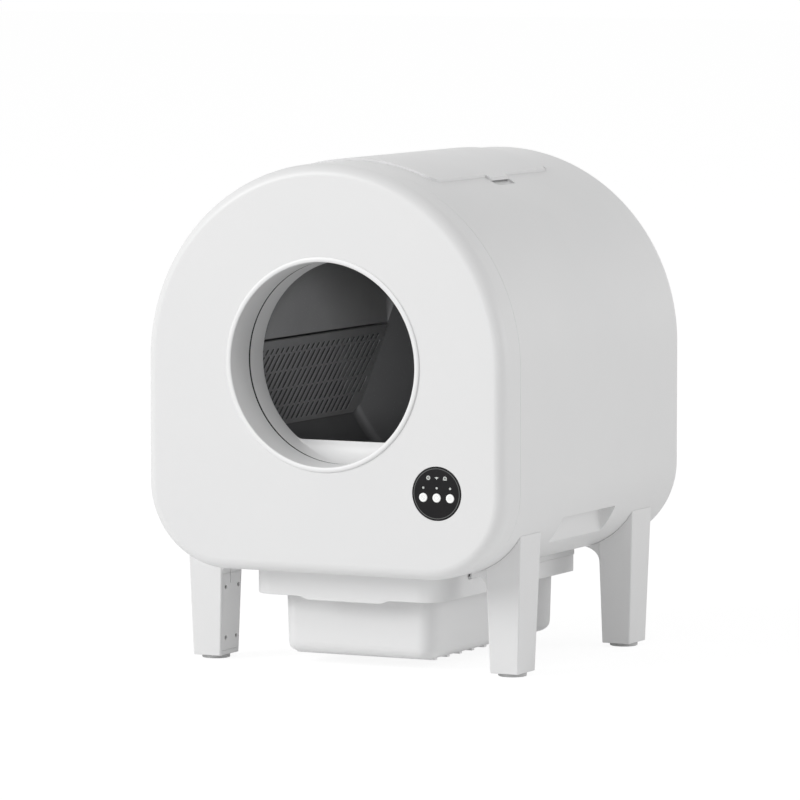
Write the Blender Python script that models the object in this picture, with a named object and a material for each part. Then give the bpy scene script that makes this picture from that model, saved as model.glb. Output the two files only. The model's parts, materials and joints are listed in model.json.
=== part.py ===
"""Self cleaning litter box: a rotating litter drum in an arched housing on four legs,
with a control panel, a top lid and a waste drawer that hangs under the body.

Metres, +Z up. X runs left to right seen from the front, Y runs from front to back.
The origin is on the floor, in the middle of the footprint.
Depths in the names below are measured backwards from the body's front face.
"""

from math import asin, cos, pi, radians, sin, sqrt, tau

import bmesh
import bpy
from mathutils import Matrix, Vector

# Body
BODY_WIDTH = 0.500
BODY_DEPTH = 0.556
UNDERSIDE_Z = 0.1266
AXIS_Z = 0.390              # centre of the arch, of the entry and of the drum
ARCH_RADIUS = BODY_WIDTH / 2
CORNER_RADIUS = 0.108       # lower corners of the body
FRONT_ROUND = (0.015, 0.020)    # rounding of the front edge, across the face and backwards
REAR_ROUND = 0.037
WALL = 0.003
GAP = 0.0003                # clearance between pieces that touch
BITE = 0.0008               # how far a block that is joined on reaches into its wall
COVER_DEPTH = 0.048         # seam between the front cover and the housing
TONGUE = 0.008              # housing lip that slides into the front cover

# Entry
ENTRY_RADIUS = 0.128
LIP_WIDTH = 0.0065
LIP_PROUD = 0.0025
TUNNEL_END = 0.0478

# Lid and the finger notch beside it
LID_HALF_WIDTH = 0.1096
LID_FRONT = 0.095
LID_REAR = 0.4335
LID_CORNER = 0.015
LID_PROUD = 0.0030
LEDGE = 0.008
TAB_X = 0.1178              # the lid's edge runs further out over the notch
TAB_FRONT = 0.2415
TAB_REAR = 0.2925
TAB_ROOM = (0.1040, 0.1190)     # hollow under the tab, from and to X
TAB_END_WALL = 0.0012
NOTCH_FRONT = 0.240
NOTCH_REAR = 0.294
NOTCH_FLOOR = (                 # X and distance from the arch's axis
    (0.1160, 0.2474), (0.1181, 0.2474), (0.1215, 0.2476), (0.1245, 0.2484), (0.1275, 0.2502),
)
HINGE_RADIUS = 0.0032
HINGE_PIN_RADIUS = 0.0013
HINGE_DEPTHS = (0.160, 0.365)
KNUCKLE = 0.014
PIN_REACH = 0.0182          # half length of a hinge pin
RELIEF_MIDDLE = (0.1073, 0.4230)    # small relief cut in the lid's rear right corner, X and depth
RELIEF_SIZE = (0.0050, 0.0090)
RELIEF_TURN = radians(22)

# Hand holds in the two lower sides
HOLD_FRONT = 0.193
HOLD_REAR = 0.3515
HOLD_TOP_Z = 0.1925
HOLD_X = 0.2195
HOLD_INSET = 0.0006         # the holds' walls end this far under the body's surface

# Rear cover and power inlet
REAR_HALF_WIDTH = 0.150
REAR_LOW_Z = 0.205
REAR_TOP_Z = 0.510
REAR_CORNER_RADIUS = 0.030
REAR_LEDGE = 0.008
VENT_HALF_WIDTH = 0.035
VENT_LOW_Z = 0.235
VENT_PITCH = 0.010
VENT_HEIGHT = 0.004
VENT_COUNT = 6
INLET_X = 0.125
INLET_Z = 0.182
INLET_RADIUS = 0.0075

# Base plate over the opening in the body's underside, and the waste chute in it
BASE_HALF_WIDTH = 0.144
BASE_FRONT = 0.075
BASE_REAR = 0.512
BASE_TOP = UNDERSIDE_Z + 2 * WALL + 2 * GAP     # where pieces stand on the base plate
UNDER_OPENING = (0.120, 0.105, 0.470)           # half width, front and rear
CHUTE_HALF_WIDTH = 0.0860
CHUTE_FRONT = 0.1535
CHUTE_REAR = 0.3665
CHUTE_FLANGE = 0.010
CHUTE_LOW_Z = 0.1248
CHUTE_TOP_Z = 0.215

# Drum
DRUM_ORIGIN = (0, 0, AXIS_Z)
DRUM_OUTER = 0.217
DRUM_WALL = 0.0035
DRUM_FRONT = 0.0505
DRUM_FRONT_WALL = 0.0025
DRUM_SHELL_FRONT = DRUM_FRONT + DRUM_FRONT_WALL + GAP
DRUM_BACK_WALL = 0.4645     # inner face of the drum's back wall
DRUM_FILLET = 0.012
COLLAR_RADIUS = 0.1265      # inside of the collar at its rear edge
COLLAR_MOUTH = 0.1290       # inside of the collar at its front edge, and of the wall before it
COLLAR_WALL = 0.0030
COLLAR_FRONT = DRUM_SHELL_FRONT
COLLAR_REAR = 0.0840
DAM_DROP = 0.1022           # top of the litter dam, below the drum's axis
DAM_LIP = 0.0030
DAM_HALF_WIDTH = 0.12
PORT_HALF_WIDTH = 0.080
PORT_FRONT = 0.165
PORT_REAR = 0.355
SHEET = 0.0025

# Sieve screen: a flat slotted plate on the left side of the drum
SIEVE_TOP = (-0.1380, 0.0155)   # from the drum's axis, X and Z
SIEVE_LEAN = radians(21.2)
SIEVE_LENGTH = 0.1260
SIEVE_FRONT = 0.0615
SIEVE_REAR = 0.4620
SIEVE_CHAMFER = (0.012, 0.014)  # lower rear corner, cut for the drum's round
SLOT_PITCH = 0.01423
SLOT_WIDTH = 0.0066
SLOT_SLANT = 0.31               # sideways run of a slot for its length
SLOTS_PER_ROW = 27
FIRST_SLOT = 0.0713
SLOT_ROWS = (                   # start below the top edge, and length
    (0.0122, 0.0067), (0.0222, 0.0213), (0.0480, 0.0218), (0.0743, 0.0210), (0.1000, 0.0185),
)

# Gear drive
GEAR_MODULE = 0.004
RING_TEETH = 114
PINION_TEETH = 12
GEAR_FRONT = 0.4520
GEAR_WIDTH = 0.0120
PINION_DIRECTION = radians(-52)
TOOTH_HEIGHT = 0.0078
TOOTH_TIP = 0.24                # widths as a share of the tooth pitch
TOOTH_ROOT = 0.54
MOTOR_RADIUS = 0.0185
MOTOR_LENGTH = 0.0600
SHAFT_RADIUS = 0.0030

# Support rollers under the drum
ROLLER_RADIUS = 0.012
ROLLER_WIDTH = 0.014
ROLLER_DEPTHS = (0.105, 0.420)
ROLLER_ANGLE = radians(30)      # to either side of straight down
AXLE_RADIUS = 0.0025
EAR = 0.0025
EAR_HALF_WIDTH = 0.0095
EAR_RISE = 0.0052               # top of a bracket's ear over the axle

# Magnet on the drum, over the position sensor when the drum is at rest
MAGNET_X = -0.060
MAGNET_DEPTH = 0.391

# Legs
LEG_DEPTHS = (0.1115, 0.4500)   # middle of the front and rear legs
LEG_BOTTOM_Z = 0.0048
LEG_TOP_Z = 0.184
LEG_BOTTOM = (0.1900, 0.2290, 0.0255)   # inner X, outer X, half depth
LEG_TOP = (0.1843, 0.2350, 0.0302)
LEG_ROUND = 0.0020
LEG_HOLLOW = 0.0300
FLARE = (0.026, 0.019)          # reach and rise of the curved web
FLARE_TOP_Z = UNDERSIDE_Z + WALL
FLARE_HALF_DEPTH = 0.027
PLATE_LOW_Z = 0.0110            # cover plate in the inner face
PLATE_TOP_Z = 0.1095
PLATE_HALF_DEPTH = 0.0232
PAD_RADIUS = 0.018
PAD_HEIGHT = 0.0045

# Waste drawer and its rails
RIM_HALF_WIDTH = 0.132
RIM_FRONT = 0.058
RIM_REAR = 0.464
RIM_TOP_Z = 0.1236
RIM_BOTTOM_Z = 0.0915
RIM_CORNER = 0.031
REAR_CORNER = 0.003
TUB_HALF_WIDTH = 0.1058
TUB_FRONT = 0.093
TUB_REAR = 0.455
TUB_BOTTOM_Z = 0.0135
TUB_CORNER = 0.019
TUB_DRAFT = 0.0025
TUB_END_ROUND = 0.016       # bottom edge at the front and rear
TUB_SIDE_ROUND = 0.0105
TUB_HEIGHT = RIM_TOP_Z - TUB_BOTTOM_Z
PULL_HALF_WIDTH = 0.066
PULL_DROP = 0.0044
PULL_END = 0.017            # length of the curve at each end of the pull
RIB_COUNT = 9
RIB_PITCH = 0.036
FIRST_RIB = TUB_FRONT + 0.031
RIB_HALF_WIDTH = 0.0974
RAIL_FRONT = 0.146
RAIL_REAR = 0.455
RAIL_INNER_X = 0.1120
RAIL_OUTER_X = 0.1365
TONGUE_X = 0.1295           # the rail's tongue reaches this far into the drawer's groove
TONGUE_LOW_Z = 0.1144
TONGUE_TOP_Z = 0.1171
GROOVE_X = 0.1285
GROOVE_LOW_Z = 0.1131
GROOVE_TOP_Z = 0.1186
SKIRT = 0.0025              # wall of the rim that hangs round the tub

# Control panel on the front cover
PANEL_X = 0.1584
PANEL_Z = 0.2362
PANEL_RADIUS = 0.0335
PANEL_PROUD = 0.0004
PANEL_REAR = 0.0053
BUTTON_RADIUS = 0.0055
BUTTON_PITCH = 0.0184
BUTTON_PROUD = 0.0012
BUTTON_Z = 0.2310
STEM_RADIUS = 0.0025            # a button's stem ends over its switch
STEM_END = 0.0084
LIGHT_Z = 0.2431
LIGHT_RADIUS = 0.0015

# Smoothness of round pieces
ARCH_STEPS = 28
CORNER_STEPS = 8
DRUM_STEPS = 60
ENTRY_STEPS = 48

FRONT_Y = LIP_PROUD - (BODY_DEPTH + LIP_PROUD) / 2

WHITE = ("white_plastic", (0.86, 0.86, 0.86), 0.42, 0.0)
DARK = ("dark_grey_plastic", (0.085, 0.085, 0.09), 0.55, 0.0)
BLACK = ("black_gloss", (0.012, 0.012, 0.013), 0.16, 0.0)
RUBBER = ("grey_rubber", (0.60, 0.60, 0.60), 0.85, 0.0)
STEEL = ("steel", (0.62, 0.62, 0.64), 0.3, 1.0)
ACETAL = ("gear_plastic", (0.75, 0.74, 0.70), 0.5, 0.0)
BOARD = ("circuit_board", (0.02, 0.16, 0.07), 0.5, 0.0)
LIGHT = ("light_guide", (0.92, 0.94, 0.93), 0.2, 0.0)


def y_at(depth):
    """World Y of a depth behind the body's front face."""
    return FRONT_Y + depth


def arc(cx, cz, radius, start, end, steps):
    """Points of an arc in degrees, both ends included."""
    points = []
    for i in range(steps + 1):
        angle = radians(start + (end - start) * i / steps)
        points.append((cx + radius * cos(angle), cz + radius * sin(angle)))
    return points


def body_outline(inset):
    """Section of the body seen from the front, X and Z: an arch on two rounded corners."""
    cx = BODY_WIDTH / 2 - CORNER_RADIUS
    cz = UNDERSIDE_Z + CORNER_RADIUS
    points = arc(0, AXIS_Z, ARCH_RADIUS - inset, 0, 180, ARCH_STEPS)
    points += arc(-cx, cz, CORNER_RADIUS - inset, 180, 270, CORNER_STEPS)
    points += arc(cx, cz, CORNER_RADIUS - inset, 270, 360, CORNER_STEPS)
    return points


def body_ring(inset, depth):
    return [(x, y_at(depth), z) for x, z in body_outline(inset)]


def corner_x(z, inset):
    """Half width of the body at a height on its lower rounded corners."""
    drop = UNDERSIDE_Z + CORNER_RADIUS - z
    return BODY_WIDTH / 2 - CORNER_RADIUS + sqrt((CORNER_RADIUS - inset) ** 2 - drop ** 2)


def corner_z(x, inset):
    """Height of a lower rounded corner at a distance from the middle."""
    run = x - BODY_WIDTH / 2 + CORNER_RADIUS
    return UNDERSIDE_Z + CORNER_RADIUS - sqrt((CORNER_RADIUS - inset) ** 2 - run ** 2)


def rounded_rectangle(half_x, y_front, y_rear, front_radius, rear_radius, steps=4):
    """Outline in X and Y, counter-clockwise seen from above."""
    points = arc(half_x - rear_radius, y_rear - rear_radius, rear_radius, 0, 90, steps)
    points += arc(rear_radius - half_x, y_rear - rear_radius, rear_radius, 90, 180, steps)
    points += arc(front_radius - half_x, y_front + front_radius, front_radius, 180, 270, steps)
    points += arc(half_x - front_radius, y_front + front_radius, front_radius, 270, 360, steps)
    return points


def loft(rings):
    """A closed solid through rings with equal numbers of points, capped at both ends."""
    bm = bmesh.new()
    loops = [[bm.verts.new(point) for point in ring] for ring in rings]
    for lower, upper in zip(loops, loops[1:]):
        for i in range(len(lower)):
            j = (i + 1) % len(lower)
            bm.faces.new((lower[i], lower[j], upper[j], upper[i]))
    bm.faces.new(list(reversed(loops[0])))
    bm.faces.new(loops[-1])
    return closed(bm)


def closed(bm):
    bmesh.ops.remove_doubles(bm, verts=bm.verts, dist=1e-6)
    bmesh.ops.recalc_face_normals(bm, faces=bm.faces)
    return bm


def prism(outline, axis, low, high):
    """An outline extruded along one axis. Outline pairs are the two other axes, in X, Y, Z order."""
    place = {
        "X": lambda a, b, t: (t, a, b),
        "Y": lambda a, b, t: (a, t, b),
        "Z": lambda a, b, t: (a, b, t),
    }[axis]
    return loft([[place(a, b, t) for a, b in outline] for t in (low, high)])


def box(low, high):
    bm = bmesh.new()
    size = Vector(high) - Vector(low)
    middle = (Vector(high) + Vector(low)) / 2
    matrix = Matrix.Translation(middle) @ Matrix.Diagonal((*size, 1))
    bmesh.ops.create_cube(bm, size=1.0, matrix=matrix)
    return bm


def turned(profile, x, z, steps):
    """A closed profile of radius and depth, spun round an axis that runs front to back."""
    bm = bmesh.new()
    verts = [bm.verts.new((x + radius, y_at(depth), z)) for radius, depth in profile]
    edges = [bm.edges.new((verts[i], verts[(i + 1) % len(verts)])) for i in range(len(verts))]
    bmesh.ops.spin(
        bm, geom=verts + edges, cent=(x, y_at(0), z), axis=(0, 1, 0), angle=tau, steps=steps, use_merge=True)
    bmesh.ops.remove_doubles(bm, verts=bm.verts, dist=1e-6)
    bmesh.ops.dissolve_degenerate(bm, dist=1e-6, edges=bm.edges)
    return closed(bm)


def disc(radius, front, rear, x, z, steps):
    """A plain cylinder along Y, given by the depths of its ends."""
    outline = [(x + radius * cos(tau * i / steps), z + radius * sin(tau * i / steps)) for i in range(steps)]
    return prism(outline, "Y", y_at(front), y_at(rear))


def upright(radius, low_z, high_z, x, depth, steps):
    """A plain cylinder along Z."""
    outline = [
        (x + radius * cos(tau * i / steps), y_at(depth) + radius * sin(tau * i / steps)) for i in range(steps)
    ]
    return prism(outline, "Z", low_z, high_z)


def material(spec):
    name, colour, roughness, metallic = spec
    found = bpy.data.materials.get(name)
    if found:
        return found
    made = bpy.data.materials.new(name)
    made.use_nodes = True
    shader = made.node_tree.nodes["Principled BSDF"]
    shader.inputs["Base Color"].default_value = (*colour, 1)
    shader.inputs["Roughness"].default_value = roughness
    shader.inputs["Metallic"].default_value = metallic
    return made


def piece(name, bm, finish, origin=(0, 0, 0), add=(), cut=(), keep=()):
    """A named sub-part. The meshes in add are joined to it, keep trims it and cut is taken away."""
    bmesh.ops.translate(bm, verts=bm.verts, vec=-Vector(origin))
    mesh = bpy.data.meshes.new(name)
    bm.to_mesh(mesh)
    bm.free()
    obj = bpy.data.objects.new(name, mesh)
    obj.location = origin
    bpy.context.scene.collection.objects.link(obj)
    mesh.materials.append(material(finish))
    mesh.shade_smooth()
    mesh.set_sharp_from_angle(angle=radians(32))
    for operation, tools in (("UNION", add), ("INTERSECT", keep), ("DIFFERENCE", cut)):
        for number, tool in enumerate(tools):
            label = f"{name}_{operation.lower()}_{number}"
            modifier = obj.modifiers.new(label, "BOOLEAN")
            modifier.operation = operation
            modifier.object = tool if isinstance(tool, bpy.types.Object) else guide(label, tool)
    return obj


def guide(name, bm):
    """A hidden tool body for a Boolean."""
    mesh = bpy.data.meshes.new(name)
    bm.to_mesh(mesh)
    bm.free()
    obj = bpy.data.objects.new(name, mesh)
    obj.hide_render = True
    obj.display_type = "WIRE"
    bpy.context.scene.collection.objects.link(obj)
    return obj


def side_name(side):
    return "right" if side > 0 else "left"


# Outer casing

def quarter_round(across, along, inset, depth, steps, backwards=False):
    """Rings round an edge: from the flat face out to the side, as inset and depth."""
    rings = []
    for i in range(steps + 1):
        angle = pi / 2 * i / steps
        in_by = inset + across * (1 - sin(angle))
        back_by = along * (1 - cos(angle))
        rings.append((in_by, depth - back_by if backwards else depth + back_by))
    return rings


def make_front_cover():
    across, along = FRONT_ROUND
    outer = quarter_round(across, along, 0, 0, 5)
    inner = quarter_round(across - WALL, along - WALL, WALL, WALL, 3)
    rear = COVER_DEPTH - GAP
    steps = outer + [(0, rear), (WALL, rear)] + list(reversed(inner))
    shell = loft([body_ring(inset, depth) for inset, depth in steps])
    entry = disc(ENTRY_RADIUS + 0.0031, -0.01, 0.02, 0, AXIS_Z, ENTRY_STEPS)
    window = disc(PANEL_RADIUS + GAP, -0.01, 0.02, PANEL_X, PANEL_Z, 32)
    piece("front_cover", shell, WHITE, cut=[entry, window])


def make_entry_ring():
    lip = ENTRY_RADIUS + LIP_WIDTH
    profile = [
        (ENTRY_RADIUS, TUNNEL_END),
        (ENTRY_RADIUS, 0.0008),
        (ENTRY_RADIUS + 0.0009, -0.0016),
        (ENTRY_RADIUS + 0.0031, -LIP_PROUD),
        (lip - 0.0012, -0.0018),
        (lip, -GAP),
        (ENTRY_RADIUS + 0.0027, -GAP),
        (ENTRY_RADIUS + 0.0027, TUNNEL_END),
    ]
    piece("entry_ring", turned(profile, 0, AXIS_Z, ENTRY_STEPS), WHITE)


def lid_outline(margin):
    """The lid seen from above: a rounded rectangle with a tab on its right edge."""
    radius = LID_CORNER + margin
    outline = rounded_rectangle(
        LID_HALF_WIDTH + margin, y_at(LID_FRONT - margin), y_at(LID_REAR + margin), radius, radius, 4)
    edge = LID_HALF_WIDTH + margin
    front, rear = y_at(TAB_FRONT - margin), y_at(TAB_REAR + margin)
    tab = [(edge, front), (TAB_X + margin, front), (TAB_X + margin, rear), (edge, rear)]
    return outline + tab


def lid_prism(margin, low_z, high_z):
    """Upright prism over the lid's outline, grown or shrunk by a margin."""
    return prism(lid_outline(margin), "Z", low_z, high_z)


def arch_plate(inner, outer, front, rear, half_angle, steps):
    """A curved plate that follows the arch, between two radii and two depths."""
    section = arc(0, AXIS_Z, outer, 90 - half_angle, 90 + half_angle, steps)
    section += arc(0, AXIS_Z, inner, 90 + half_angle, 90 - half_angle, steps)
    return prism(section, "Y", y_at(front), y_at(rear))


def hinge_axis():
    """Where the lid's hinge runs: X and Z, over the gap at the lid's left edge."""
    angle = asin((LID_HALF_WIDTH + GAP) / ARCH_RADIUS)
    reach = ARCH_RADIUS + LID_PROUD + HINGE_RADIUS + 2 * GAP
    return -reach * sin(angle), AXIS_Z + reach * cos(angle)


def knuckle(front, rear):
    """A hinge barrel on the lid's axis, with its foot on the surface beside it."""
    x, z = hinge_axis()
    return disc(HINGE_RADIUS, front, rear, x, z, 12)


def knuckle_foot(front, rear, side):
    """A block that ties a barrel to the lid (side 1) or to the housing (side -1)."""
    x, z = hinge_axis()
    low_x, high_x = sorted((x + side * 0.0014, x + side * 0.0090))
    drop = 0.0125 if side < 0 else 0.0039
    return box((low_x, y_at(front), z - drop), (high_x, y_at(rear), z - HINGE_RADIUS * 0.25))


def arch_z(x, radius):
    """Height of the arch of a radius at a distance from the middle."""
    return AXIS_Z + sqrt(radius ** 2 - x ** 2)


def along_notch(section, margin):
    """A prism along the notch, from a section of X and Z, longer by a margin at both ends."""
    return prism(section, "Y", y_at(NOTCH_FRONT - margin), y_at(NOTCH_REAR + margin))


def make_housing_shell():
    outer = quarter_round(REAR_ROUND, REAR_ROUND, 0, BODY_DEPTH, 5, backwards=True)
    inside = REAR_ROUND - WALL
    inner = quarter_round(inside, inside, WALL, BODY_DEPTH - WALL, 4, backwards=True)
    tongue_in = 2 * WALL + GAP
    front = [
        (WALL, COVER_DEPTH + 0.012),
        (tongue_in, COVER_DEPTH + 0.006),
        (tongue_in, COVER_DEPTH - TONGUE),
        (WALL + GAP, COVER_DEPTH - TONGUE),
        (WALL + GAP, COVER_DEPTH),
        (0, COVER_DEPTH),
    ]
    steps = inner + front + list(reversed(outer))
    shell = loft([body_ring(inset, depth) for inset, depth in steps])

    arch_inner = ARCH_RADIUS - WALL
    ledge = arch_plate(arch_inner - WALL, arch_inner + BITE, LID_FRONT - 0.010, LID_REAR + 0.010, 28.6, 12)
    seat = arch_plate(arch_inner - GAP, ARCH_RADIUS + 0.02, LID_FRONT - 0.02, LID_REAR + 0.02, 32, 12)
    lid_seat = guide("lid_seat", seat)
    trim = lid_seat.modifiers.new("outline", "BOOLEAN")
    trim.operation = "INTERSECT"
    trim.object = guide("lid_seat_outline", lid_prism(GAP, AXIS_Z, AXIS_Z + 0.3))
    hatch = lid_prism(-LEDGE, AXIS_Z + 0.1, AXIS_Z + 0.3)

    floor = [(x, arch_z(x, radius)) for x, radius in NOTCH_FLOOR]
    notch = along_notch(floor + [(x, arch_z(x, ARCH_RADIUS + 0.01)) for x, _ in reversed(NOTCH_FLOOR)], 0)
    across = (0.1110, TAB_X, 0.1320)
    under = [(x, arch_z(x, arch_inner - 0.0030)) for x in across]
    inside_wall = [(x, arch_z(x, arch_inner + BITE)) for x in reversed(across)]
    notch_block = along_notch(under + inside_wall, WALL)

    inward, outward = BODY_DEPTH - 0.02, BODY_DEPTH + 0.01
    rear_pad = rear_panel(REAR_LEDGE, BODY_DEPTH - 0.0072, BODY_DEPTH - WALL + BITE)
    rear_seat = rear_panel(GAP, BODY_DEPTH - WALL - GAP, outward)
    rear_hole = rear_panel(-REAR_LEDGE, inward, outward)
    inlet_hole = disc(INLET_RADIUS + GAP, inward, outward, INLET_X, INLET_Z, 20)
    half, front, rear = UNDER_OPENING
    under_hole = box((-half, y_at(front), UNDERSIDE_Z - 0.01), (half, y_at(rear), UNDERSIDE_Z + 0.01))

    hold_walls, hold_rooms = zip(*[hand_hold(side) for side in (-1, 1)])
    knuckles = []
    pin_holes = []
    x, z = hinge_axis()
    for depth in HINGE_DEPTHS:
        for end in (-1, 1):
            front, rear = sorted((depth + end * (KNUCKLE / 2 + GAP), depth + end * PIN_REACH))
            knuckles += [knuckle(front, rear), knuckle_foot(front, rear, -1)]
        pin_holes.append(disc(HINGE_PIN_RADIUS + GAP, depth - 0.03, depth + 0.03, x, z, 10))
    piece(
        "housing_shell", shell, WHITE,
        add=[ledge, notch_block, *hold_walls, rear_pad, *knuckles],
        cut=[lid_seat, hatch, notch, *hold_rooms, rear_seat, rear_hole, under_hole, inlet_hole, *pin_holes])


def hand_hold(side):
    """The walls round a hand hold as one block, and the room that is cut out of it."""
    inner, ceiling = HOLD_X - WALL, HOLD_TOP_Z + WALL
    curve = [(x, z) for x, z in body_outline(HOLD_INSET) if side * x > inner and z < ceiling]
    curve.sort(key=lambda point: point[1])
    outline = [(side * inner, corner_z(inner, HOLD_INSET)), *curve]
    outline += [(side * corner_x(ceiling, HOLD_INSET), ceiling), (side * inner, ceiling)]
    block = prism(outline, "Y", y_at(HOLD_FRONT - WALL), y_at(HOLD_REAR + WALL))
    low_x, high_x = sorted((side * HOLD_X, side * (BODY_WIDTH / 2 + 0.02)))
    room = box((low_x, y_at(HOLD_FRONT), UNDERSIDE_Z - 0.02), (high_x, y_at(HOLD_REAR), HOLD_TOP_Z))
    return block, room


def rear_panel(margin, front, rear):
    """Prism over the outline of the rear cover, grown by a margin."""
    radius = REAR_CORNER_RADIUS + margin
    outline = rounded_rectangle(
        REAR_HALF_WIDTH + margin, REAR_LOW_Z - margin, REAR_TOP_Z + margin, radius, radius, 5)
    return prism(outline, "Y", y_at(front), y_at(rear))


def make_rear_cover():
    plate = rear_panel(0, BODY_DEPTH - WALL, BODY_DEPTH)
    vents = []
    for row in range(VENT_COUNT):
        low_z = VENT_LOW_Z + row * VENT_PITCH
        vents.append(box(
            (-VENT_HALF_WIDTH, y_at(BODY_DEPTH - 0.01), low_z),
            (VENT_HALF_WIDTH, y_at(BODY_DEPTH + 0.01), low_z + VENT_HEIGHT)))
    piece("rear_cover", plate, WHITE, cut=vents)


def make_power_inlet():
    """Round socket with a contact pin, open at the back."""
    back = BODY_DEPTH
    bottom = back - 0.0140
    bore, pin = 0.0030, 0.0010
    profile = [
        (0, back - 0.0180), (INLET_RADIUS, back - 0.0180), (INLET_RADIUS, back), (bore, back),
        (bore, bottom), (pin, bottom), (pin, back - 0.0030), (0, back - 0.0030),
    ]
    piece("power_inlet", turned(profile, INLET_X, INLET_Z, 20), BLACK)


def corner_relief():
    """Room of the small relief in the lid's rear right corner, down to the body's surface."""
    middle_x, middle_depth = RELIEF_MIDDLE
    half_x, half_y = RELIEF_SIZE[0] / 2, RELIEF_SIZE[1] / 2
    outline = []
    for across, back in ((-half_x, -half_y), (half_x, -half_y), (half_x, half_y), (-half_x, half_y)):
        x = middle_x + across * cos(RELIEF_TURN) - back * sin(RELIEF_TURN)
        depth = middle_depth + across * sin(RELIEF_TURN) + back * cos(RELIEF_TURN)
        outline.append((x, y_at(depth)))
    radii = (ARCH_RADIUS, ARCH_RADIUS + 0.01)
    return loft([[(x, y, arch_z(x, radius)) for x, y in outline] for radius in radii])


def make_top_lid():
    inner = ARCH_RADIUS - WALL
    plate = arch_plate(inner, ARCH_RADIUS + LID_PROUD, LID_FRONT - 0.02, LID_REAR + 0.02, 30, 16)
    x, z = hinge_axis()
    origin = (x, 0, z)
    barrels = []
    for depth in HINGE_DEPTHS:
        front, rear = depth - KNUCKLE / 2, depth + KNUCKLE / 2
        barrels += [knuckle(front, rear), knuckle_foot(front, rear, 1)]
    bores = [disc(HINGE_PIN_RADIUS + GAP, d - 0.02, d + 0.02, x, z, 10) for d in HINGE_DEPTHS]
    steps = [TAB_ROOM[0] + (TAB_ROOM[1] - TAB_ROOM[0]) * i / 3 for i in range(4)]
    section = [(x, arch_z(x, ARCH_RADIUS)) for x in steps]
    section += [(x, arch_z(x, inner - 0.01)) for x in reversed(steps)]
    tab_room = prism(section, "Y", y_at(TAB_FRONT + TAB_END_WALL), y_at(TAB_REAR - TAB_END_WALL))
    lid = piece("top_lid", plate, WHITE, origin, keep=[lid_prism(0, AXIS_Z, AXIS_Z + 0.3)])
    for number, body in enumerate(barrels):
        joined = lid.modifiers.new(f"barrel_{number}", "BOOLEAN")
        joined.operation = "UNION"
        joined.object = guide(f"lid_barrel_{number}", body)
    for number, body in enumerate([*bores, tab_room, corner_relief()]):
        drilled = lid.modifiers.new(f"bore_{number}", "BOOLEAN")
        drilled.operation = "DIFFERENCE"
        drilled.object = guide(f"lid_bore_{number}", body)
    for name, depth in zip(("front", "rear"), HINGE_DEPTHS):
        pin = disc(HINGE_PIN_RADIUS, depth - PIN_REACH, depth + PIN_REACH, x, z, 10)
        piece(f"lid_hinge_pin_{name}", pin, STEEL)


# Base, drawer and rails

def make_base_plate():
    low_z = UNDERSIDE_Z + WALL + GAP
    plate = box((-BASE_HALF_WIDTH, y_at(BASE_FRONT), low_z), (BASE_HALF_WIDTH, y_at(BASE_REAR), low_z + WALL))
    hole = chute_box(GAP, low_z - 0.02, low_z + 0.02)
    piece("base_plate", plate, WHITE, cut=[hole])


def chute_box(margin, low_z, high_z):
    """Box over the chute's outline, grown by a margin."""
    half, front, rear = CHUTE_HALF_WIDTH + margin, CHUTE_FRONT - margin, CHUTE_REAR + margin
    return box((-half, y_at(front), low_z), (half, y_at(rear), high_z))


def make_waste_chute():
    outer = chute_box(0, CHUTE_LOW_Z, CHUTE_TOP_Z)
    flange = chute_box(CHUTE_FLANGE, BASE_TOP, BASE_TOP + SHEET)
    inside = chute_box(-WALL, CHUTE_LOW_Z - 0.02, CHUTE_TOP_Z + 0.02)
    drum_room = disc(DRUM_OUTER + 0.0035, CHUTE_FRONT - 0.05, CHUTE_REAR + 0.05, 0, AXIS_Z, DRUM_STEPS)
    piece("waste_chute", outer, WHITE, add=[flange], cut=[inside, drum_room])


def pull_outline():
    """The pull seen from the front: a strip whose ends curve up into the rim's lower edge."""
    ends = []
    for i in range(7):
        share = i / 6
        drop = PULL_DROP * share ** 2 * (3 - 2 * share)
        ends.append((PULL_HALF_WIDTH - PULL_END * share, RIM_BOTTOM_Z + 0.0002 - drop))
    left = [(-x, z) for x, z in ends]
    top_z = RIM_BOTTOM_Z + 0.004
    return [(-PULL_HALF_WIDTH, top_z), *left, *reversed(ends), (PULL_HALF_WIDTH, top_z)]


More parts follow.
